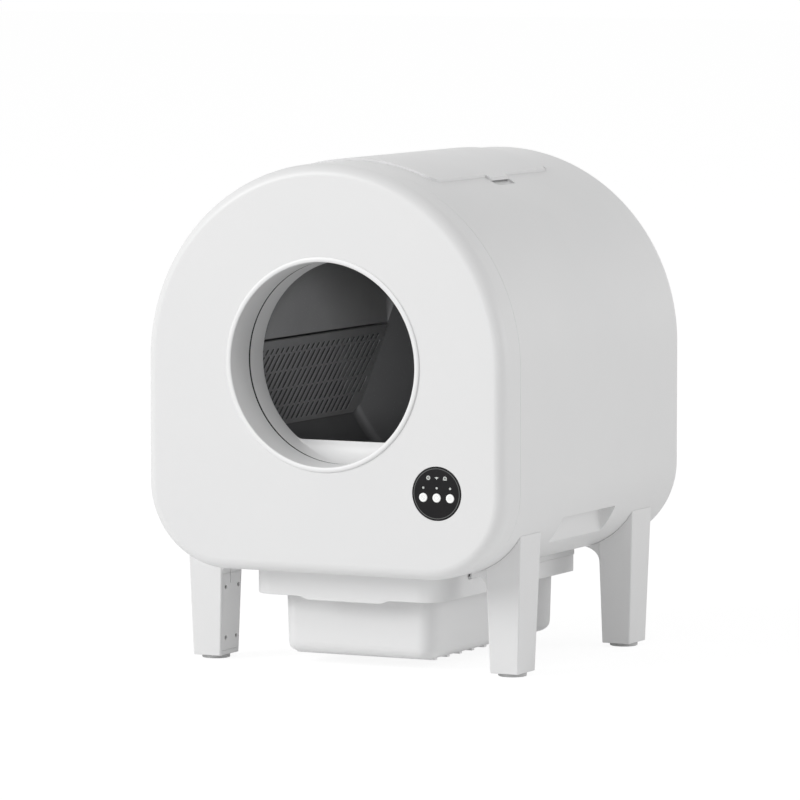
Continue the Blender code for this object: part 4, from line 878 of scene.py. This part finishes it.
def makeSieveScreen():
    # Drawn flat first: depth along X, down along Y, the sheet's thickness along Z
    sheet = drum["sheet"]
    plate = block((sieve["front"], 0, 0), (sieve["rear"], sieve["length"], sheet))
    width, height = sieve["chamfer"]
    rearEnd, lowEnd = sieve["rear"], sieve["length"]
    corner = ((rearEnd - width, lowEnd), (rearEnd + 0.01, lowEnd + 0.01), (rearEnd, lowEnd - height))
    chamfer = prism([(x, y, -0.01) for x, y in corner], (0, 0, 0.02))
    half = sieve["slotWidth"] / 2
    margin, cornerRoom = sieve["slotMargins"]
    slots = []
    for row, (top, length) in enumerate(sieve["rows"]):
        first = sieve["firstSlot"] + (sieve["slotPitch"] / 2 if row % 2 else 0)
        lean = sieve["slant"] * length / 2
        one = block((-half, 0, -0.01), (half, length, 0.01))
        for vert in one.verts:
            vert.co.x += lean if vert.co.y < length / 2 else -lean
        upright = [edge for edge in one.edges if abs(edge.verts[0].co.z - edge.verts[1].co.z) > 0.01]
        bevelled(one, upright, sieve["slotRound"], 3)
        for i in range(sieve["perRow"]):
            depth = first + i * sieve["slotPitch"]
            intoChamfer = max(0, top + length - sieve["length"] + cornerRoom)
            if depth + lean + half > sieve["rear"] - margin - intoChamfer:
                continue
            slot = one.copy()
            bmesh.ops.translate(slot, verts=slot.verts, vec=(depth, top, 0))
            slots.append(slot)
        one.free()
    rimFront, rimTop, rimRear, rimLow = sieve["rim"]
    recess = block(
        (sieve["front"] + rimFront, rimTop, sieve["field"]),
        (sieve["rear"] - rimRear, sieve["length"] - rimLow, sheet + 0.01), sieve["rimRound"], "Z", 4)
    bm = carved(plate, cuts=[chamfer, recess, merged(*slots)])
    lean = radians(sieve["lean"])
    down = Vector((-sin(lean), 0, -cos(lean)))
    outwards = Vector((-cos(lean), 0, sin(lean)))
    matrix = Matrix((
        (0, down.x, outwards.x, sieve["top"][0]),
        (1, 0, 0, frontY),
        (0, down.z, outwards.z, axisZ + sieve["top"][1]),
        (0, 0, 0, 1)))
    bmesh.ops.transform(bm, matrix=matrix, verts=bm.verts)
    standsFor("sieve_screen", cleaned(bm), "sievePlastic")
    spot = matrix @ Vector((*sieve["screwAt"], 0))
    screw("sieveScrew", spot, -outwards, sieve["screwRadius"], "drum")


guard = {
    "shift": (-0.001, 0.0035),  # from the sieve's top edge
    "bend": (-0.1405, 0.1050),  # the point that the curve leans towards
    "portGap": 0.003,
    "topGap": 0.0018,
    "rearGap": 0.0008,
    "fillet": 0.024,
    "filletRun": 0.4,  # share of the curve over which the fillet grows
    "steps": 40,
}


def makeGuardPanel():
    across, up = guard["shift"]
    start = Vector((sieve["top"][0] + across, sieve["top"][1] + up))
    bend = Vector(guard["bend"])
    endX = -drum["portHalfWidth"] - guard["portGap"]
    end = Vector((endX, sqrt((drum["outer"] - drum["wall"] - guard["topGap"]) ** 2 - endX ** 2)))
    # The sheet curves into the back wall, less and less towards the sieve
    rearEnd = drum["backWall"] - guard["rearGap"]
    bm = bmesh.new()
    steps = guard["steps"]

    def chain(depthAt, shiftAt):
        verts = []
        for i in range(steps + 1):
            t = i / steps
            point = start * (1 - t) ** 2 + bend * 2 * t * (1 - t) + end * t ** 2
            along = (bend - start) * (1 - t) + (end - bend) * t
            point += Vector((along.y, -along.x)).normalized() * shiftAt(t)
            verts.append(bm.verts.new(at(point.x, depthAt(t), axisZ + point.y)))
        return [bm.edges.new(pair) for pair in zip(verts, verts[1:])]

    def filletAt(t):
        return guard["fillet"] * min(1, t / guard["filletRun"] + 0.01)

    chains = [chain(lambda t: sieve["front"], lambda t: 0)]
    for turn in quarterTurn(12):
        chains.append(chain(
            lambda t: rearEnd - filletAt(t) * (1 - sin(turn)), lambda t: filletAt(t) * (1 - cos(turn))))
    for first, second in zip(chains, chains[1:]):
        bmesh.ops.bridge_loops(bm, edges=first + second)
    if bm.faces[:][0].normal.x < 0:
        bmesh.ops.reverse_faces(bm, faces=bm.faces)
    bmesh.ops.solidify(bm, geom=bm.faces[:], thickness=drum["sheet"])
    softened(bm, 0.0004, 2, 60)
    room = lathe(insideProfile(guard["rearGap"]) + [(0, shellFront)], arcCentre, steps=drum["steps"])
    standsFor("guard_panel", carved(bm, keeps=[room]), "darkPlastic")


makeDrumShell()
makeDrumCollar()
makeSieveScreen()
makeGuardPanel()
print("drum made")


# Waste drawer

drawer = {
    "rimHalfWidth": 0.132,
    "rimFront": 0.058,
    "rimRear": 0.464,
    "rimTopZ": 0.1236,
    "rimBottomZ": 0.0915,
    "rimCorner": 0.031,
    "rimSoft": 0.0020,
    "rimFootSoft": 0.0012,
    "rearCorner": 0.003,
    "skirt": 0.0025,
    "tubHalfWidth": 0.1058,
    "tubFront": 0.093,
    "tubRear": 0.455,
    "tubBottomZ": 0.0135,
    "tubCorner": 0.019,
    "tubDraft": 0.0025,
    "tubEndRound": 0.016,
    "tubSideRound": 0.0105,
    "pullHalfWidth": 0.066,
    "pullDrop": 0.0044,
    "pullEnd": 0.017,
    "ribCount": 9,
    "ribPitch": 0.036,
    "ribHalfWidth": 0.0974,
    "firstRib": 0.031,  # behind the tub's front
    "ribHalfDepth": 0.004,
    "ribHeights": (-0.0018, 0.0010),  # from the tub's bottom
    "ribRound": 0.0008,
    "grooveX": 0.1285,
    "grooveFront": 0.1455,
    "grooveZ": (0.1131, 0.1186),
}


def roundedLoop(bm, half, front, back, z, frontRound, rearRound):  # a rounded rectangle as a loop of edges
    knownEdges = set(bm.edges)
    knownFaces = set(bm.faces)
    places = ((-half, front), (half, front), (half, back), (-half, back))
    corners = [bm.verts.new(at(x, depth, z)) for x, depth in places]
    bm.faces.new(corners)
    for verts, width, segments in ((corners[:2], frontRound, 14), (corners[2:], rearRound, 4)):
        bevelled(bm, verts, width, segments, "VERTICES")
    flat = [face for face in bm.faces if face not in knownFaces]
    bmesh.ops.delete(bm, geom=flat, context="FACES_ONLY")
    return [edge for edge in bm.edges if edge not in knownEdges]


def lofted(bm, loops):  # a closed solid through loops of edges
    for first, second in zip(loops, loops[1:]):
        bmesh.ops.bridge_loops(bm, edges=first + second)
    for loop in (loops[0], loops[-1]):
        bmesh.ops.contextual_create(bm, geom=loop)
    return cleaned(bm)


def rimSolid(inset, lowZ, highZ):
    bm = bmesh.new()
    loops = []
    for z in (lowZ, highZ):
        loops.append(roundedLoop(
            bm, drawer["rimHalfWidth"] - inset, drawer["rimFront"] + inset, drawer["rimRear"] - inset, z,
            drawer["rimCorner"] - inset, drawer["rearCorner"] - inset * 0.9))
    return lofted(bm, loops)


def tubSolid(inset, topZ):  # drawn in towards its bottom, with a rounded bottom edge
    def rounding(radius, height):
        return 0 if height >= radius else radius - sqrt(radius ** 2 - (radius - height) ** 2)

    bottomZ = drawer["tubBottomZ"] + inset
    full = drawer["rimTopZ"] - drawer["tubBottomZ"]
    endRound, sideRound = drawer["tubEndRound"] - inset, drawer["tubSideRound"] - inset
    heights = [endRound * (1 - cos(turn)) for turn in quarterTurn(16)] + [topZ - bottomZ]
    bm = bmesh.new()
    loops = []
    for height in heights:
        draft = inset + drawer["tubDraft"] * (1 - min(full, height + inset) / full)
        side, end = draft + rounding(sideRound, height), draft + rounding(endRound, height)
        loops.append(roundedLoop(
            bm, drawer["tubHalfWidth"] - side, drawer["tubFront"] + end, drawer["tubRear"] - end,
            bottomZ + height, drawer["tubCorner"] - inset, drawer["rearCorner"]))
    return lofted(bm, loops)


def pullStrip():  # its ends curve up into the rim's lower edge
    half, low, skirt = drawer["pullHalfWidth"], drawer["rimBottomZ"], drawer["skirt"]
    curve = []
    for i in range(17):
        share = i / 16
        drop = drawer["pullDrop"] * share * share * (3 - 2 * share)
        curve.append((half - drawer["pullEnd"] * share, low + 0.0002 - drop))
    outline = [(-half, low + 0.004)] + [(-x, z) for x, z in curve] + curve[::-1] + [(half, low + 0.004)]
    strip = prism([at(x, drawer["rimFront"] + 0.0002, z) for x, z in outline], (0, skirt, 0))
    atFoot = lambda edge: all(vert.co.z < low + 0.001 for vert in edge.verts)
    return softened(strip, 0.0008, 3, 60, atFoot)


def makeDrawer():
    skirt = drawer["skirt"]
    rim = rimSolid(0, drawer["rimBottomZ"], drawer["rimTopZ"])
    softened(rim, drawer["rimSoft"], 4, 60, lying("z", drawer["rimTopZ"]))
    softened(rim, drawer["rimFootSoft"], 3, 60, lying("z", drawer["rimBottomZ"]))
    under = rimSolid(skirt, drawer["rimBottomZ"] - 0.01, drawer["rimTopZ"] - wall)
    tub = tubSolid(0, drawer["rimTopZ"] - 0.001)
    inside = tubSolid(skirt, drawer["rimTopZ"] + 0.01)
    pull = pullStrip()
    ribs = []
    half, thick = drawer["ribHalfWidth"], drawer["ribHalfDepth"]
    ribLow, ribHigh = (drawer["tubBottomZ"] + height for height in drawer["ribHeights"])
    for i in range(drawer["ribCount"]):
        depth = drawer["tubFront"] + drawer["firstRib"] + i * drawer["ribPitch"]
        ribs.append(block(
            at(-half, depth - thick, ribLow), at(half, depth + thick, ribHigh),
            drawer["ribRound"], None, 2))
    grooves = []
    backing = []
    inner, front, (lowZ, highZ) = drawer["grooveX"], drawer["grooveFront"], drawer["grooveZ"]
    outer, back = drawer["rimHalfWidth"], drawer["rimRear"]
    for side in (-1, 1):
        grooves.append(sideBlock(side, inner, outer + 0.01, front, back + 0.02, lowZ, highZ))
        backing.append(sideBlock(
            side, inner - wall, outer - 0.0015, front - 0.0055, back - 0.007, lowZ - wall,
            drawer["rimTopZ"] - 0.001))
    flange = carved(rim, cuts=[under])
    bm = carved(flange, joins=[tub, pull, *ribs, *backing], cuts=[inside, *grooves])
    # The drawer takes the lighter copy of the white plastic, painted light against the shade under the body.
    standsFor("waste_drawer", bm, "litBinPlastic")


makeDrawer()
print("drawer made")


# Legs

leg = {
    "depths": (0.1115, 0.4500),
    "bottomZ": 0.0048,
    "topZ": 0.184,
    "bottom": (0.1900, 0.2290, 0.0255),
    "top": (0.1843, 0.2350, 0.0302),
    "round": 0.0020,
    "footSoft": 0.0010,
    "flare": (0.026, 0.019),  # reach and rise
    "flareHeight": 0.038,
    "flareRoot": 0.006,  # how far it stands in the leg
    "flareHalfDepth": 0.027,
    "plateLowZ": 0.0110,
    "plateTopZ": 0.1095,
    "plateHalfDepth": 0.0232,
    "seatRim": 0.0025,
    "screwRadius": 0.0025,
    "screwRecess": 0.0021,
    "screws": ((-0.0150, 0.0925), (0.0190, 0.0925), (-0.0118, 0.0271), (0.0165, 0.0271)),
    # a shallow upright groove, in front of the leg's middle
    "grooveDepth": -0.0038,
    "grooveWidth": 0.0016,
    "grooveFloor": 0.0012,
    "grooveZ": (0.0965, 0.1260),
    "padRadius": 0.018,
    "padHeight": 0.0045,
}


def innerFaceX(z):
    share = (z - leg["bottomZ"]) / (leg["topZ"] - leg["bottomZ"])
    return leg["bottom"][0] + (leg["top"][0] - leg["bottom"][0]) * share


def legSolid(levels):  # between two levels, each with its height, two places across and two depths
    bm = bmesh.new()
    faces = []
    for z, near, far, front, back in levels:
        ring = [at(near, front, z), at(far, front, z), at(far, back, z), at(near, back, z)]
        faces.append(bm.faces.new([bm.verts.new(point) for point in ring]))
    bmesh.ops.bridge_loops(bm, edges=[edge for face in faces for edge in face.edges])
    return cleaned(bm)


def legSlab(side, low, high, out, into, front, back):  # follows the leg's sloping inner face
    levels = []
    for z in (low, high):
        levels.append((z, side * (innerFaceX(z) - out), side * (innerFaceX(z) + into), front, back))
    return legSolid(levels)


def legGroove(side, depth):
    front = depth + leg["grooveDepth"]
    return legSlab(side, *leg["grooveZ"], 0.01, leg["grooveFloor"], front, front + leg["grooveWidth"])


def makeLeg(name, side, depth):
    levels = []
    for z, (inner, outer, half) in ((leg["bottomZ"], leg["bottom"]), (leg["topZ"], leg["top"])):
        levels.append((z, side * inner, side * outer, depth - half, depth + half))
    bm = legSolid(levels)
    upright = [edge for edge in bm.edges if abs(edge.verts[0].co.z - edge.verts[1].co.z) > 0.1]
    bevelled(bm, upright, leg["round"], 5)
    softened(bm, leg["footSoft"], 3, 60, lying("z", leg["bottomZ"]))

    # The web that curves out from the inner face under the body
    reach, rise = leg["flare"]
    lowZ = undersideZ + wall - rise
    highZ = lowZ + leg["flareHeight"]
    faceX = innerFaceX(lowZ)
    rootX = faceX + leg["flareRoot"]
    outline = [(faceX - reach * (1 - cos(turn)), lowZ + rise * sin(turn)) for turn in quarterTurn(16)]
    outline += [(faceX - reach, highZ), (rootX, highZ), (rootX, lowZ)]
    half = leg["flareHalfDepth"]
    flare = prism([at(side * x, depth - half, z) for x, z in outline], (0, 2 * half, 0))

    low, high, rim = leg["plateLowZ"], leg["plateTopZ"], leg["seatRim"]
    front, back = depth - leg["plateHalfDepth"], depth + leg["plateHalfDepth"]
    hollow = legSlab(side, low + rim, high - rim, -0.001, 0.03, front + 0.002, back - 0.002)
    seat = legSlab(side, low - gap, high + gap, 0.01, drum["sheet"] + gap, front - gap, back + gap)
    cuts = [seat, hollow, legGroove(side, depth), bodyPlug(-gap, 0, bodyDepth)]
    finished(f"leg_{name}", carved(bm, joins=[flare], cuts=cuts), "whitePlastic", [f"leg_{name}"])


def makeLegPlate(name, side, depth):
    half, recess = leg["plateHalfDepth"], leg["screwRecess"]
    plate = legSlab(side, leg["plateLowZ"], leg["plateTopZ"], 0, drum["sheet"], depth - half, depth + half)
    inwards = Vector((side, 0, 0))
    spots = [at(side * innerFaceX(z), depth + back, z) for back, z in leg["screws"]]
    holes = [legGroove(side, depth)]
    for spot in spots:
        holes.append(rod(leg["screwRadius"] + 0.0005, spot - inwards * 0.01, spot + inwards * recess, 32))
    finished(f"legPlate_{name}", carved(plate, cuts=holes), "whitePlastic", [f"leg_plate_{name}"])
    for number, spot in enumerate(spots):
        screw(f"legScrew_{name}_{number}", spot + inwards * recess, -inwards, leg["screwRadius"], "housing")


def makeFootPad(name, side, depth):
    middle = side * (leg["bottom"][0] + leg["bottom"][1]) / 2
    r, height = leg["padRadius"], leg["padHeight"]
    profile = [
        (0, 0.0002), (r * 0.55, 0.0002), (r * 0.6, 0), (r - 0.0012, 0), (r - 0.0003, 0.0004),
        (r, 0.0012), (r, height - 0.0006), (r - 0.0006, height), (0, height),
    ]
    pad = lathe(profile, at(middle, depth, 0), (0, 0, 1), 64)
    finished(f"footPad_{name}", pad, "greyRubber", [f"foot_pad_{name}"])


for side, sideName in ((-1, "left"), (1, "right")):
    for end, depth in zip(("front", "rear"), leg["depths"]):
        for make in (makeLeg, makeLegPlate, makeFootPad):
            make(f"{end}_{sideName}", side, depth)
print("legs made")


# Control panel

buttonXs = [panel["x"] + step * panel["buttonPitch"] for step in (-1, 0, 1)]
lift = panel["printLift"]


def ringPrint(x, z, outer, inner, front):  # a printed ring or disc, a hair proud of a surface
    profile = [(inner, front - lift), (outer, front - lift), (outer, front + lift), (inner, front + lift)]
    return lathe(profile, at(x, 0, z), steps=64)


def flatPrint(x, z, outline, front):
    return prism([at(x + across, front - lift, z + up) for across, up in outline], (0, 2 * lift, 0))


def makeControlPanel():
    r, proud, back = panel["radius"], panel["proud"], panel["rear"]
    behind, skirt = wall + gap, back + panel["skirt"]
    profile = [
        (0, -proud), (r - panel["chamfer"], -proud), (r - 0.0002, -proud + 0.0002), (r, 0), (r, behind),
        (r + 0.003, behind), (r + 0.003, back), (r - 0.002, back), (r - 0.002, skirt),
        (r - 0.004, skirt), (r - 0.004, back), (0, back),
    ]
    bezel = lathe(profile, at(panel["x"], 0, panel["z"]), steps=128)
    holes = []
    for x in buttonXs:
        for part in ("button", "light"):
            holes.append(bore(panel[part + "Radius"] + gap, x, panel[part + "Z"], -0.01, 0.02))
    holes.append(bore(panel["notchRadius"], panel["x"], panel["z"] - r, -0.01, 0.001, 24))
    standsFor("control_panel", carved(bezel, cuts=holes), "blackGloss")
    half = panel["ringWidth"] / 2
    ring = ringPrint(panel["x"], panel["z"], panel["ringRadius"] + half, panel["ringRadius"] - half, -proud)
    finished("panelRing", ring, "greyPrint", body="housing")


def makePanelSigns():  # small pictures with no letters: a drum, a drop with wings and a bin
    x, z, proud, step = panel["x"], panel["iconZ"], panel["proud"], panel["iconPitch"]
    sign = merged(ringPrint(x - step, z, 0.0027, 0.0013, -proud), ringPrint(x - step, z, 0.0006, 0, -proud))
    finished("panelSign_left", sign, "palePrint", body="housing")
    drop = [(-0.0028, 0.0006), (-0.0008, 0.0014), (0.0008, 0.0014), (0.0028, 0.0006), (0.0008, -0.0006),
            (0, -0.0022), (-0.0008, -0.0006)]
    finished("panelSign_middle", flatPrint(x, z, drop, -proud), "palePrint", body="housing")
    foot = [(-0.0026, -0.0023), (0.0026, -0.0023), (0.0026, -0.0013), (-0.0026, -0.0013)]
    sign = merged(
        ringPrint(x + step, z, 0.0025, 0.0012, -proud), ringPrint(x + step, z, 0.0005, 0, -proud),
        flatPrint(x + step, z, foot, -proud - 0.00004))
    finished("panelSign_right", sign, "palePrint", body="housing")


def makeButtons():
    r, z = panel["buttonRadius"], panel["buttonZ"]
    for name, body, x in zip(("left", "middle", "right"), ("button_l", "button_m", "button_r"), buttonXs):
        profile = [
            (0, -0.0010), (r * 0.5, -0.00105), (r - 0.0014, -0.0012), (r - 0.0005, -0.0010), (r, -0.0005),
            (r, 0.0057), (r + 0.0012, 0.0057), (r + 0.0012, 0.0067), (0.0025, 0.0067), (0.0025, 0.0084),
            (0, 0.0084),
        ]
        button = lathe(profile, at(x, 0, z), steps=64)
        finished(f"button_{name}", button, "lightGuide", [f"button_{name}"])
        glyphs = [ringPrint(x, z, 0.0030, 0.0025, -0.00106)]
        if name == "left":
            slash = [(-0.0019, 0.0014), (-0.0014, 0.0019), (0.0019, -0.0014), (0.0014, -0.0019)]
            glyphs.append(flatPrint(x, z, slash, -0.00105))
        if name == "right":
            glyphs.append(ringPrint(x, z, 0.0012, 0.0007, -0.00102))
        finished(f"buttonSign_{name}", merged(*glyphs), "faintPrint", body=body)


makeControlPanel()
makePanelSigns()
makeButtons()
print("panel made")


# Pieces that keep their CAD form, with their edges rounded

refined = [  # finish, width of the rounding, nodes
    ("palePrint", 0.0002, ["indicator_lens"]),
    ("whitePlastic", 0.0005, ["base_plate"]),
    ("whitePlastic", 0.0004, ["waste_chute", "drawer_rail_left", "drawer_rail_right"]),
    ("darkPlastic", 0.0003, ["ring_gear"]),
    ("steel", 0.0002, ["drum_magnet"]),
    ("gearPlastic", 0.0003, ["drive_pinion"]),
    ("steel", 0.0003, ["pinion_shaft", "motor_bracket", "gear_motor"]),
    ("whitePlastic", 0.0004, ["roller_bracket_front", "roller_bracket_rear"]),
    ("circuitBoard", 0.0003, ["position_sensor", "presence_sensor"]),
    ("circuitBoard", 0.0002, ["main_board", "panel_board"]),
]
for place in ("front_left", "front_right", "rear_left", "rear_right"):
    refined += [("gearPlastic", 0.0003, [f"roller_{place}"]), ("steel", 0.0003, [f"roller_axle_{place}"])]


def refineNode(node, finish, width):
    bm = bmesh.new()
    bm.from_mesh(frame["nodes"][node].data)
    bmesh.ops.remove_doubles(bm, verts=bm.verts, dist=1e-6)
    bmesh.ops.dissolve_limit(
        bm, angle_limit=radians(0.5), use_dissolve_boundaries=False, verts=bm.verts, edges=bm.edges)
    softened(bm, width, 2, 38)
    standsFor(node, bm, finish)


for finish, width, nodes in refined:
    for node in nodes:
        refineNode(node, finish, width)
print("small pieces refined")


# Floor, light and camera

stageLook = {
    "worldLight": 0.52,
    "floorTone": 0.94,
    "floorShade": 0.20,  # how much of the shadow on the floor the camera sees
    "floorGlow": 1.10,
    "floorBounce": 0.07,  # light that the floor gives off besides what falls on it
    # share of full white on a surface facing the lamp, degrees to the right of the front, degrees up,
    # distance and size
    "keyLamp": (0.485, -38, 24, 12.0, 7.0),
    "backLamp": (0.19, 112, 10, 12.0, 7.0),
    "drumLamp": (1.35, 29, -1, 12.0, 6.0),  # reaches only what is inside the drum
    "entryLamp": (0.25, 38, 62, 12.0, 7.0),  # reaches only the tunnel and the collar
}
camera = {
    "place": (3.4651, -7.0699, 1.0098),
    "yaw": 0.4590,
    "pitch": 0.0868,
    "focal": 6156.29,
    "frame": 800,
}


def makeStage():
    bm = bmesh.new()
    bmesh.ops.create_grid(bm, x_segments=1, y_segments=1, size=30)
    mesh = meshOf("floor", bm)
    placed("floor", mesh)
    made = bpy.data.materials.new("paleFloor")
    made.use_nodes = True
    tree = made.node_tree
    tree.nodes.remove(tree.nodes["Principled BSDF"])
    diffuse = addNode(tree, "BsdfDiffuse", {"Color": (*[stageLook["floorTone"]] * 3, 1)})
    bounce = addNode(tree, "Emission", {"Strength": stageLook["floorBounce"]})
    lit = addNode(tree, "AddShader", {0: diffuse.outputs["BSDF"], 1: bounce.outputs["Emission"]})
    white = addNode(tree, "Emission", {"Strength": stageLook["floorGlow"]})
    seen = addNode(tree, "LightPath").outputs["Is Camera Ray"]
    share = addNode(tree, "Math", {0: seen, 1: 1 - stageLook["floorShade"]}, operation="MULTIPLY")
    mix = addNode(tree, "MixShader", {
        "Fac": share.outputs["Value"], 1: lit.outputs["Shader"], 2: white.outputs["Emission"]})
    tree.links.new(mix.outputs["Shader"], tree.nodes["Material Output"].inputs["Surface"])
    mesh.materials.append(made)


def makeWorld():
    world = bpy.data.worlds.new("studio")
    bpy.context.scene.world = world
    world.use_nodes = True
    tree = world.node_tree
    ground = tree.nodes["Background"].inputs
    ground["Color"].default_value = (1, 1, 1, 1)
    path = addNode(tree, "LightPath").outputs
    glossy = addNode(
        tree, "Math", {0: path["Is Camera Ray"], 1: path["Is Glossy Ray"]}, operation="MAXIMUM")
    seen = addNode(
        tree, "Math", {0: glossy.outputs["Value"], 1: path["Is Transmission Ray"]}, operation="MAXIMUM")
    strength = addNode(tree, "MapRange", {
        "To Min": stageLook["worldLight"], "To Max": 1.0, "Value": seen.outputs["Value"]})
    tree.links.new(strength.outputs["Result"], ground["Strength"])


def makeLamp(name):
    share, azimuth, elevation, distance, size = stageLook[name]
    turn, lift = radians(azimuth), radians(elevation)
    direction = Vector((sin(turn) * cos(lift), -cos(turn) * cos(lift), sin(lift)))
    data = bpy.data.lights.new(name, "AREA")
    data.shape = "DISK"
    data.size = size
    data.energy = share * (pi * distance) ** 2  # a disk this far away then gives the share asked for
    lamp = placed(name, data)
    lamp.location = Vector((0, 0, axisZ)) + direction * distance
    lamp.rotation_euler = direction.to_track_quat("Z", "Y").to_euler()
    return lamp


def makeCamera():
    data = bpy.data.cameras.new("camera")
    data.sensor_width = 36
    data.lens = camera["focal"] / camera["frame"] * data.sensor_width
    view = placed("camera", data)
    view.location = camera["place"]
    view.rotation_euler = (pi / 2 - camera["pitch"], 0, camera["yaw"])
    data.clip_end = 60
    bpy.context.scene.camera = view


makeStage()
makeWorld()
makeLamp("keyLamp")
makeLamp("backLamp")
for lampName, pieceNames in (("drumLamp", ("drumShell", "guardPanel", "sieveScreen", "sieveScrew")),
                             ("entryLamp", ("entryRing", "drumCollar"))):
    reached = bpy.data.collections.new(lampName)
    for pieceName in pieceNames:
        reached.objects.link(bpy.data.objects[pieceName])
    makeLamp(lampName).light_linking.receiver_collection = reached
makeCamera()
bpy.context.scene.view_settings.view_transform = "Standard"
print("stage made")
